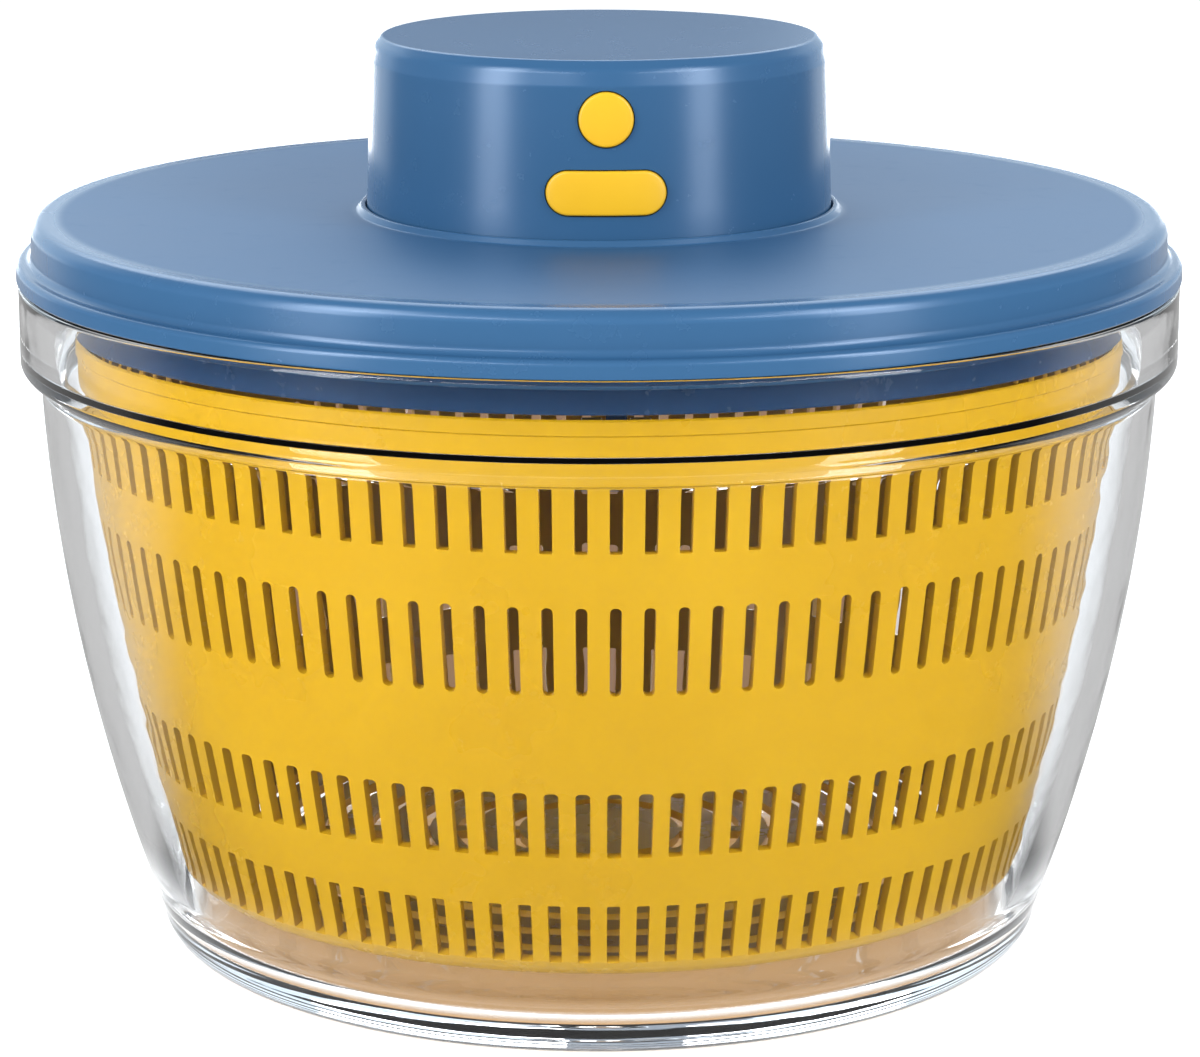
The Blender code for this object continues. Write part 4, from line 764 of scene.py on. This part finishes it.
def wall_levels():
    """Levels down the basket's wall: (radius, z, half width of the opening as a share, open below)."""
    sizes = bpy.context.scene.spinner_basket
    low, high = basket_floor_z(), basket_band_z()
    levels = []
    z_here = high - 0.0010
    for top, bottom, share, top_round, bottom_round in slot_rows():
        z_top = high - (high - low) * top
        z_bottom = high - (high - low) * bottom
        gap_steps = max(int((z_here - z_top) / 0.005), 1)
        first = slot_edge(share / 2, share / 2 * top_round, 0)
        last = levels[-1][2] if levels else first
        for step in range(1 if levels else 0, gap_steps):
            mix = step / gap_steps
            z = z_here + (z_top - z_here) * mix
            levels.append((wall_radius(z), z, last + (first - last) * mix, False))
        pitch = math.tau * basket_radius((z_top + z_bottom) / 2) / sizes.slot_count
        depths = []
        for roundness, sign, base in ((top_round, -1, z_top), (bottom_round, 1, z_bottom)):
            corner = share / 2 * roundness
            count = 6 if roundness > 0.5 else 3
            ends = []
            for step in range(count + 1):
                depth = corner * (1 - math.cos(math.pi / 2 * step / count))
                ends.append((base + sign * depth * pitch, slot_edge(share / 2, corner, depth)))
            depths.append(ends)
        middle = [z_top + (z_bottom - z_top) * step / 4 for step in (1, 2, 3)]
        rows = depths[0] + [(z, share / 2) for z in middle] + depths[1][::-1]
        for number, (z, half) in enumerate(rows):
            levels.append((wall_radius(z), z, half, number < len(rows) - 1))
        z_here = z_bottom
    return levels


def band_levels(half):
    """Levels of the plain band, from the rim down to the top of the wall."""
    sizes = bpy.context.scene.spinner_basket
    high = basket_band_z()
    wall = basket_radius(high)
    outer = wall + sizes.band_step
    lip = BASKET_TOP - sizes.lip_height
    profile = rounded([
        (outer - 0.0004, BASKET_TOP, 0),
        (outer, BASKET_TOP - 0.0004, 0),
        (outer, lip, 0.0002),
        (outer - 0.00045, lip - 0.0003, 0.0002),
        (outer - 0.00045, high, 0.0004),
        (wall, high - 0.0002, 0.0002),
        (wall, high - 0.0008, 0),
    ], segments=3)
    return [(r, z, half, False) for r, z in profile[:-1]]


def corner_levels(half, top):
    """Levels of the rounded bottom edge that lie below a height."""
    sizes = bpy.context.scene.spinner_basket
    start = basket_floor_z() + sizes.corner
    centre = (basket_radius(start) - sizes.corner, start)
    points = arc_points(centre, sizes.corner, 0, -math.pi / 2, 14)
    return [(r, z, half, False) for r, z in points if z < top - 0.0002]


def make_wall_pitch():
    """One pitch of the basket's side, with its four slots, from the rim to the edge of the floor."""
    sizes = bpy.context.scene.spinner_basket
    wall = wall_levels()
    levels = band_levels(wall[0][2]) + wall + corner_levels(wall[-1][2], wall[-1][1])
    pitch = math.tau / sizes.slot_count
    form = bmesh.new()
    rows = []
    for r, z, half, _ in levels:
        row = []
        for share in (-0.5, -half, half, 0.5):
            row.append(form.verts.new((r * math.cos(pitch * share), r * math.sin(pitch * share), z)))
        rows.append(row)
    for upper, lower, level in zip(rows, rows[1:], levels):
        for column in range(3):
            if column == 1 and level[3]:
                continue
            form.faces.new((upper[column], lower[column], lower[column + 1], upper[column + 1]))
    return finish_mesh(form, "basket_pitch"), levels[-1]


def make_floor_sector(edge_radius, half):
    """One sector of the basket's floor between two spokes, with its ring slots."""
    sizes = bpy.context.scene.spinner_basket
    pitches = sizes.slot_count // sizes.spoke_count
    pitch = math.tau / sizes.slot_count
    angles = []
    for number in range(pitches):
        angles += [pitch * (number + share) for share in (-0.5, -half, half)]
    angles.append(pitch * (pitches - 0.5))
    span = angles[-1] - angles[0]
    low = basket_floor_z()
    rings = [(edge_radius, False)]
    slot_outer = edge_radius - 0.0060
    while slot_outer - sizes.floor_slot_width > 0.0160:
        rings += [(slot_outer, True), (slot_outer - sizes.floor_slot_width, False)]
        slot_outer -= sizes.floor_slot_pitch
    rings += [(0.0135, False), (0.0100, False), (0.0050, False)]
    form = bmesh.new()
    rows = []
    for r, _ in rings:
        rows.append([form.verts.new((r * math.cos(angle), r * math.sin(angle), low)) for angle in angles])
    spoke_half = 0.0017
    for outer, inner, (r, is_open) in zip(rows, rows[1:], rings):
        for column in range(len(angles) - 1):
            middle = (angles[column] + angles[column + 1]) / 2 - angles[0]
            from_spoke = min(middle, span - middle) * r
            if is_open and from_spoke > spoke_half:
                continue
            form.faces.new((outer[column], inner[column], inner[column + 1], outer[column + 1]))
    centre = form.verts.new((0, 0, low))
    for column in range(len(angles) - 1):
        form.faces.new((rows[-1][column], centre, rows[-1][column + 1]))
    return finish_mesh(form, "basket_floor_sector")


def band_face():
    """Radius of the inside of the basket's band."""
    sizes = bpy.context.scene.spinner_basket
    return basket_radius(basket_band_z()) + sizes.band_step - sizes.wall


def make_dog_pair():
    """Two drive dogs either side of a spoke's line, on the inside of the basket's rim."""
    face = band_face()
    form = bmesh.new()
    for middle in (-DOG_OFFSET, DOG_OFFSET):
        low = (face - DOG_DEPTH, middle - DOG_HALF_WIDTH, BASKET_TOP - 0.0063)
        high = (face + 0.0008, middle + DOG_HALF_WIDTH, BASKET_TOP - 0.0004)
        rounded_box(form, low, high, 0.0004)
    return finish_mesh(form, "basket_dogs")


class SPINNER_OT_basket(bpy.types.Operator):
    """Make the slotted basket: its wall and floor are repeated pitches, thickened to a shell"""

    bl_idname = "spinner.make_basket"
    bl_label = "Make basket"

    def execute(self, context):
        sizes = context.scene.spinner_basket
        plastic = material("yellow_plastic")
        pitch, (edge_radius, _, half, _) = make_wall_pitch()
        wall = repeated(pitch, sizes.slot_count, plastic)
        sector = repeated(make_floor_sector(edge_radius, half), sizes.spoke_count, plastic)
        form = bmesh.new()
        for piece in (wall, sector):
            form.from_mesh(piece.data)
            bpy.data.objects.remove(piece, do_unlink=True)
        bmesh.ops.remove_doubles(form, verts=form.verts, dist=MERGE)
        shell = finish_mesh(form, "basket_shell")
        thick = shell.modifiers.new("Wall", "SOLIDIFY")
        thick.thickness = sizes.wall
        thick.offset = -1
        thick.use_even_offset = True
        with_modifiers(shell, "basket_shell")
        dogs = repeated(make_dog_pair(), sizes.dog_count, plastic)
        floor_z = basket_floor_z()
        bush_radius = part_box("pivot_bush")[1].x
        boss = turned("basket_boss", rounded([
            (bush_radius + TOUCH_GAP, floor_z + 0.0009, 0.0003),
            (bush_radius + 0.0040, floor_z + 0.0009, 0.0003),
            (bush_radius + 0.0024, floor_z - 0.0006, 0.0010),
            (bush_radius + 0.0022, BASKET_FOOT, 0.0005),
            (bush_radius + TOUCH_GAP, BASKET_FOOT, 0.0003),
        ], closed=True), SMALL_TURN_STEPS, closed=True)
        basket = joined("slotted_basket", [shell, dogs, boss])
        even_normals(basket)
        stand_for(basket, "basket", "yellow_plastic", "basket")
        return {"FINISHED"}


# ---------------------------------------------------------------- lid and drive disc


class SPINNER_OT_lid(bpy.types.Operator):
    """Make the lid: flat plate, rounded edge, stepped flange, skirt and the lip round the hub"""

    bl_idname = "spinner.make_lid"
    bl_label = "Make lid"

    def execute(self, context):
        sizes = context.scene.spinner_lid
        top = lid_top_z()
        base = BOWL_TOP + TOUCH_GAP
        side = LID_HIGH.x - sizes.flange_step
        flange_top = base + sizes.flange_height
        lip_inner = HUB_HIGH.x + TOUCH_GAP
        lip_outer = lip_inner + LIP_WIDTH
        seat = HUB_LOW.z - TOUCH_GAP
        skirt_outer = LID_HIGH.x - LID_OVERHANG - context.scene.spinner_bowl.collar_wall - SKIRT_GAP
        skirt_inner = skirt_outer - SKIRT_WALL
        hub_inner = HUB_HIGH.x - HUB_REST
        corners = [
            (sizes.opening, top, 0.0004),
            (hub_inner, top, 0.0002),
            (hub_inner, seat, 0.0001),
            (lip_inner, seat, 0.0001),
            (lip_inner, LID_HIGH.z, 0.0003),
            (lip_inner + 0.0010, LID_HIGH.z, 0.0005),
            (lip_outer, top, 0.0006),
            (lip_outer + 0.0012, top, 0),
            ((lip_outer + side) / 2, top, 0),
            (side, top, sizes.edge_radius),
            (side + 0.00015, flange_top + 0.0001, 0.0018),
            (LID_HIGH.x - 0.0001, flange_top, 0.0013),
            (LID_HIGH.x, base, 0.0004),
            (skirt_outer, base, 0.0003),
            (skirt_outer, LID_LOW.z, 0.0005),
            (skirt_inner, LID_LOW.z, 0.0005),
            (skirt_inner, base + sizes.wall, 0.0008),
            (side - sizes.wall, flange_top + sizes.wall * 0.6, 0.0008),
            (side - sizes.wall, top - sizes.wall, 0.0015),
            (sizes.opening, top - sizes.wall, 0.0004),
        ]
        lid = turned("lid_cover", rounded(corners, closed=True, segments=8), closed=True)
        even_normals(lid)
        stand_for(lid, "lid", "blue_plastic", "lid_shell")
        return {"FINISHED"}


class SPINNER_OT_disc(bpy.types.Operator):
    """Make the drive disc: deep rim, dished web with ribs, hub and the four lugs that turn the basket"""

    bl_idname = "spinner.make_disc"
    bl_label = "Make drive disc"

    def execute(self, context):
        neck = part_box("gearbox_tray")[0].z
        shaft_low, shaft_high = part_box("output_shaft")
        rim_inner = DISC_HIGH.x - DISC_WALL
        rim_foot = BASKET_TOP + RIM_HEADROOM
        web_top = neck + TRAY_NECK_DEPTH - DISC_WEB_GAP
        low_web = web_top - DISC_DISH
        socket = shaft_high.x + TOUCH_GAP
        hub_outer = socket + DISC_HUB_WALL
        socket_floor = shaft_low.z - TOUCH_GAP
        hub_foot = socket_floor - DISC_WEB
        cone_start = DISC_CONE_START
        cone_end = cone_start + DISC_DISH
        corners = [
            (socket, neck - 0.0005, 0.0002),
            (hub_outer, neck - 0.0005, 0.0003),
            (hub_outer, low_web, 0.0003),
            (cone_start, low_web, 0.0008),
            (cone_end, web_top, 0.0008),
            (rim_inner, web_top, 0.0003),
            (rim_inner, DISC_HIGH.z, 0.0005),
            (DISC_HIGH.x, DISC_HIGH.z, 0.0006),
            (DISC_HIGH.x, rim_foot + 0.0030, 0),
            (DISC_HIGH.x, rim_foot, 0.0006),
            (rim_inner, rim_foot, 0.0006),
            (rim_inner, web_top - DISC_WEB, 0.0012),
            (cone_end, web_top - DISC_WEB, 0.0008),
            (cone_start, low_web - DISC_WEB, 0.0008),
            (hub_outer, low_web - DISC_WEB, 0.0006),
            (hub_outer, hub_foot, 0.0006),
            (DISC_SCREW_HOLE, hub_foot, 0.0002),
            (DISC_SCREW_HOLE, socket_floor, 0),
            (socket, socket_floor, 0),
        ]
        disc = turned("disc_body", rounded(corners, closed=True), closed=True)
        plastic = material("dark_blue_plastic")
        face = band_face()
        in_web = web_top - DISC_WEB / 2
        form = bmesh.new()
        low = (face - DOG_DEPTH, -DOG_HALF_WIDTH, DISC_LOW.z)
        rounded_box(form, low, (face - LUG_WALL_GAP, DOG_HALF_WIDTH, in_web), 0.0004)
        lugs = repeated(finish_mesh(form, "disc_lug"), context.scene.spinner_basket.dog_count, plastic)
        form = bmesh.new()
        low = (cone_end + 0.001, -RIB_HALF_WIDTH, web_top - DISC_WEB - RIB_DEPTH)
        high = (rim_inner + 0.0004, RIB_HALF_WIDTH, in_web)
        rounded_box(form, low, high, 0.0003, math.pi / RIB_COUNT)
        ribs = repeated(finish_mesh(form, "disc_rib"), RIB_COUNT, plastic)
        piece = joined("drive_disc_body", [disc, lugs, ribs])
        even_normals(piece)
        stand_for(piece, "drive", "dark_blue_plastic", "drive_disc")
        return {"FINISHED"}


# ---------------------------------------------------------------- hub, buttons and plug


def cut(obj, cutter):
    boolean = obj.modifiers.new("Opening", "BOOLEAN")
    boolean.operation = "DIFFERENCE"
    boolean.object = cutter
    with_modifiers(obj, obj.name)
    bpy.data.objects.remove(cutter, do_unlink=True)


def opening(name, low, high, grow, front, back):
    """A cutter for a bar-shaped opening round a box, grown by a gap all round."""
    width, height = high.x - low.x + 2 * grow, high.z - low.z + 2 * grow
    return layered(name, [bar_ring(width, height, y, (low.z + high.z) / 2) for y in (front, back)])


class SPINNER_OT_hub(bpy.types.Operator):
    """Make the motor housing on the lid, with its openings for the buttons and the charging socket"""

    bl_idname = "spinner.make_hub"
    bl_label = "Make hub"

    def execute(self, context):
        sizes = context.scene.spinner_hub
        top = lid_top_z()
        band_z = HUB_HIGH.z - sizes.band_height
        side = hub_radius(band_z)
        inner_top = side - sizes.wall
        corners = [
            (0, HUB_HIGH.z, 0),
            (0.020, HUB_HIGH.z, 0),
            (side - sizes.band_width, HUB_HIGH.z, 0.0012),
            (side - sizes.band_width * 0.32, HUB_HIGH.z - sizes.band_height * 0.42, 0.0030),
            (side, band_z - 0.0008, 0.0030),
            (hub_radius(HUB_HIGH.z - 0.016), HUB_HIGH.z - 0.016, 0),
            (hub_radius(top + 0.008), top + 0.008, 0),
            (hub_radius(top), HUB_LOW.z, 0.0003),
            (HUB_HIGH.x - sizes.wall, HUB_LOW.z, 0.0003),
            (inner_top, band_z, 0.0010),
            (inner_top - sizes.wall, HUB_HIGH.z - sizes.wall, 0.0010),
            (0, HUB_HIGH.z - sizes.wall, 0),
        ]
        housing = turned("hub_cover", rounded(corners, segments=8))
        gap = sizes.button_gap - BUTTON_FLANGE
        for name, box in (("round_cut", ROUND_BOX), ("pill_cut", PILL_BOX)):
            cut(housing, opening(name, *box, gap, -CUT_OUTSIDE, -CUT_INSIDE))
        cut(housing, opening("socket_cut", *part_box("charging_socket"), TOUCH_GAP, CUT_INSIDE, CUT_OUTSIDE))
        housing.data.set_sharp_from_angle(angle=SHARP_ANGLE)
        even_normals(housing)
        stand_for(housing, "lid", "blue_plastic", "motor_housing")
        return {"FINISHED"}


def button_layers(width, height, middle, stem_tip):
    """Rings of a button from its domed face back to its flange."""
    sizes = bpy.context.scene.spinner_hub
    bevel = sizes.button_bevel

    def face(x, z, drop):
        reach = hub_radius(middle + z) + BUTTON_PROUD - drop
        return -math.sqrt(reach * reach - x * x)

    inset = height / 2 - 0.00005
    layers = [(inset * share, BUTTON_DOME * (1 - share) ** 2) for share in (1.0, 0.82, 0.6, 0.4, 0.25)]
    layers += [(depth, BUTTON_DOME + drop) for depth, drop in rounding(bevel, 6)]
    rings = []
    for depth, drop in layers:
        outline = pill_points(width - 2 * depth, height - 2 * depth, 48, 24)
        rings.append([(x, face(x, z, drop), middle + z) for x, z in outline])
    wall_inner = hub_radius(middle) - sizes.taper - sizes.wall
    half = width / 2 + BUTTON_FLANGE
    front = 0.0008 - math.sqrt(wall_inner ** 2 - half ** 2)
    back = front + BUTTON_FLANGE
    for grow, y in ((0, front), (BUTTON_FLANGE, front), (BUTTON_FLANGE, back), (0, back)):
        rings.append(bar_ring(width + 2 * grow, height + 2 * grow, y, middle))
    stem_width = STEM_HEIGHT if width <= height + 1e-6 else STEM_WIDTH
    rings += [bar_ring(stem_width, STEM_HEIGHT, y, middle) for y in (back, stem_tip)]
    return rings


class SPINNER_OT_buttons(bpy.types.Operator):
    """Make the round and the long button, each with a rounded edge, a flange and a stem"""

    bl_idname = "spinner.make_buttons"
    bl_label = "Make buttons"

    def execute(self, context):
        for name, body, (low, high) in (
            ("round_button", "power_button", ROUND_BOX),
            ("long_button", "speed_button", PILL_BOX),
        ):
            width = high.x - low.x - 2 * BUTTON_FLANGE
            height = high.z - low.z - 2 * BUTTON_FLANGE
            if abs(width - height) < 0.001:
                width = height = max(width, height)
            middle = (low.z + high.z) / 2
            button = layered(name, button_layers(width, height, middle, high.y))
            even_normals(button)
            stand_for(button, body, "button_yellow", body)
        return {"FINISHED"}


class SPINNER_OT_plug(bpy.types.Operator):
    """Make the soft cover of the charging socket, with a rounded head and a finger tab"""

    bl_idname = "spinner.make_plug"
    bl_label = "Make socket plug"

    def execute(self, context):
        middle = (PLUG_LOW.z + PLUG_HIGH.z) / 2
        width = PLUG_HIGH.x - PLUG_LOW.x
        height = PLUG_HIGH.z - PLUG_LOW.z
        back = PLUG_HIGH.y
        front = back - PLUG_HEAD
        edge = rounding(PLUG_BEVEL, 4)
        layers = [(height / 2 - 0.0001, back - 0.0003), (height / 4, back - 0.0002)]
        layers += [(inset, back - drop) for inset, drop in edge]
        layers += [(drop, front + inset) for inset, drop in edge]
        rings = [bar_ring(width - 2 * inset, height - 2 * inset, y, middle, 32, 12) for inset, y in layers]
        for shrink, y in ((0, front), (0, PLUG_LOW.y + 0.0004), (0.0002, PLUG_LOW.y)):
            rings.append(bar_ring(TONGUE_WIDTH - 2 * shrink, TONGUE_HEIGHT - 2 * shrink, y, middle, 32, 12))
        plug = layered("socket_cover", rings)
        even_normals(plug)
        stand_for(plug, "socket_plug", "blue_silicone", "socket_plug")
        return {"FINISHED"}


# ---------------------------------------------------------------- pieces kept as they are


class SPINNER_OT_inner(bpy.types.Operator):
    """Give every remaining piece, such as gears, motor, cells and screws, its own finish"""

    bl_idname = "spinner.finish_inner"
    bl_label = "Finish inner pieces"

    def execute(self, context):
        slots = {part["node"]: part["material_slot"] for part in frame["record"]["subparts"]}
        for name, node in frame["nodes"].items():
            node.data.materials.clear()
            node.data.materials.append(material(slots[name]))
        return {"FINISHED"}


# ---------------------------------------------------------------- stage


def add_light(name, azimuth, elevation, distance, width, height, power, tint):
    """An area light that faces the object. Azimuth 0 is the camera's side, positive to its right."""
    data = bpy.data.lights.new(name, "AREA")
    data.shape = "RECTANGLE"
    data.size = width
    data.size_y = height
    data.energy = power
    data.color = tint
    light = bpy.data.objects.new(name, data)
    bpy.context.scene.collection.objects.link(light)
    turn, rise = math.radians(azimuth), math.radians(elevation)
    target = Vector((0, 0, LIGHT_TARGET_Z))
    away = Vector((math.sin(turn) * math.cos(rise), -math.cos(turn) * math.cos(rise), math.sin(rise)))
    light.location = target + away * distance
    light.rotation_euler = (-away).to_track_quat("-Z", "Y").to_euler()


def floor_finish():
    """A pale floor. Under the bowl it glows amber, painted light from the basket; in reflections its front
    half is dim, a painted reflection; and behind the clear bowl it carries painted shade.
    """
    made, tree, shader = new_material("studio_floor")
    path = add_node(tree, "ShaderNodeLightPath", {}).outputs
    place = object_place(tree)
    radius = vector_maths(tree, "LENGTH", place).outputs["Value"]
    heading = vector_maths(tree, "NORMALIZE", place)
    backward = add_node(tree, "ShaderNodeSeparateXYZ", {"Vector": heading}).outputs["Y"]
    here = add_node(tree, "ShaderNodeSeparateXYZ", {"Vector": place}).outputs

    def layer(below, tone, mask, strength=1.0):
        glow = add_node(tree, "ShaderNodeEmission", {"Color": (*tone, 1.0), "Strength": strength})
        return add_node(tree, "ShaderNodeMixShader", {"Fac": mask, 1: below, 2: glow})

    set_inputs(shader, {
        "Base Color": (0.60, 0.60, 0.60, 1.0),
        "Roughness": 0.8,
        "Specular IOR Level": 0.1,
        "Emission Color": (1.0, 1.0, 1.0, 1.0),
        "Emission Strength": ranged(tree, radius, 0.088, 0.096, 0.0, FLOOR_GLOW),
    })
    # Painted light: under the bowl the floor glows amber, standing in for light through the basket.
    under = ranged(tree, radius, 0.086, 0.095, PAINTED_AMBER_LIGHT_SHARE, 0.0)
    surface = layer(shader, PAINTED_AMBER_LIGHT_TONE, under)

    # Painted shade behind the bowl, in a wedge that widens backwards, for light that has crossed three or
    # more faces.
    half_width = maths(tree, "MULTIPLY_ADD", here["Y"], 0.13, 0.068)
    sideways = maths(tree, "DIVIDE", maths(tree, "ABSOLUTE", here["X"]), half_width)
    behind = ranged(tree, here["Y"], 0.06, 0.14, 0.0, 1.0)
    through = ranged(tree, path["Transmission Depth"], 2.5, 3.5, 0.0, 1.0)
    wedge = maths(tree, "MULTIPLY", ranged(tree, sideways, 0.85, 1.15, 1.0, 0.0), behind)
    shaded = maths(tree, "MULTIPLY", maths(tree, "MULTIPLY", wedge, through), SHADED_SHARE)
    surface = layer(surface, SHADED_TONE, shaded)

    # Painted reflections: the floor glows only in reflections, dim in front and brighter behind and to the
    # sides.
    beside = ranged(tree, radius, 0.72, 0.92, 0.60, 0.0)
    brightness = ranged(tree, maths(tree, "ADD", backward, beside), 0.45, 0.80, DIM_FRONT, BRIGHT_BACK)
    beyond = ranged(tree, radius, 0.092, 0.125, 0.0, 1.0)
    reflected = maths(tree, "MULTIPLY", maths(tree, "MINIMUM", path["Glossy Depth"], 1.0), beyond)
    surface = layer(surface, (1.0, 1.0, 1.0), reflected, brightness)
    set_inputs(tree.nodes["Material Output"], {"Surface": surface})
    return made


class SPINNER_OT_stage(bpy.types.Operator):
    """Make the pale floor, the soft studio lights and the camera"""

    bl_idname = "spinner.make_stage"
    bl_label = "Make stage"

    def execute(self, context):
        scene = context.scene
        sizes = scene.spinner_stage
        scene.view_settings.view_transform = "Standard"
        scene.view_settings.look = "None"

        form = bmesh.new()
        bmesh.ops.create_grid(form, x_segments=24, y_segments=24, size=sizes.floor_size / 2)
        bmesh.ops.translate(form, vec=(0, 0, -FLOOR_DROP), verts=form.verts)
        floor = finish_mesh(form, "studio_floor")
        floor.data.materials.append(floor_finish())

        world = bpy.data.worlds.new("studio")
        world.use_nodes = True
        sky = {"Color": SKY_TONE, "Strength": SKY_STRENGTH}
        set_inputs(world.node_tree.nodes["Background"], sky)
        scene.world = world
        for light in LIGHTS:
            add_light(*light)

        data = bpy.data.cameras.new("studio_camera")
        data.sensor_width = 36.0
        data.lens = sizes.lens
        camera = bpy.data.objects.new("studio_camera", data)
        scene.collection.objects.link(camera)
        target = Vector((sizes.camera_side, 0, sizes.camera_height))
        reach = sizes.camera_distance
        back = math.cos(sizes.camera_elevation) * reach
        turn = sizes.camera_azimuth
        rise = math.sin(sizes.camera_elevation) * reach
        camera.location = target + Vector((-math.sin(turn) * back, -math.cos(turn) * back, rise))
        camera.rotation_euler = (math.pi / 2 - sizes.camera_elevation, 0, -turn)
        scene.camera = camera
        return {"FINISHED"}


# ---------------------------------------------------------------- add-on


GROUPS = {
    "spinner_bowl": BowlSizes,
    "spinner_basket": BasketSizes,
    "spinner_lid": LidSizes,
    "spinner_hub": HubSizes,
    "spinner_stage": StageSizes,
}
OPERATORS = (
    SPINNER_OT_inner,
    SPINNER_OT_bowl,
    SPINNER_OT_basket,
    SPINNER_OT_lid,
    SPINNER_OT_disc,
    SPINNER_OT_hub,
    SPINNER_OT_buttons,
    SPINNER_OT_plug,
    SPINNER_OT_stage,
)


class SPINNER_PT_panel(bpy.types.Panel):
    """Buttons for each piece, with its sizes and colours"""

    bl_idname = "SPINNER_PT_panel"
    bl_label = "Salad spinner"
    bl_space_type = "VIEW_3D"
    bl_region_type = "UI"
    bl_category = "Spinner"

    def draw(self, context):
        for operator in OPERATORS:
            self.layout.operator(operator.bl_idname)
        for name, group in GROUPS.items():
            box = self.layout.box()
            for field in group.__annotations__:
                box.prop(getattr(context.scene, name), field)


def register():
    for group in GROUPS.values():
        bpy.utils.register_class(group)
    for name, group in GROUPS.items():
        setattr(bpy.types.Scene, name, PointerProperty(type=group))
    for operator in OPERATORS:
        bpy.utils.register_class(operator)
    bpy.utils.register_class(SPINNER_PT_panel)


def unregister():
    bpy.utils.unregister_class(SPINNER_PT_panel)
    for operator in reversed(OPERATORS):
        bpy.utils.unregister_class(operator)
    for name in GROUPS:
        delattr(bpy.types.Scene, name)
    for group in reversed(list(GROUPS.values())):
        bpy.utils.unregister_class(group)


def main():
    register()
    bpy.ops.spinner.finish_inner()
    bpy.ops.spinner.make_bowl()
    bpy.ops.spinner.make_basket()
    bpy.ops.spinner.make_lid()
    bpy.ops.spinner.make_disc()
    bpy.ops.spinner.make_hub()
    bpy.ops.spinner.make_buttons()
    bpy.ops.spinner.make_plug()
    bpy.ops.spinner.make_stage()


if __name__ == "__main__":
    main()
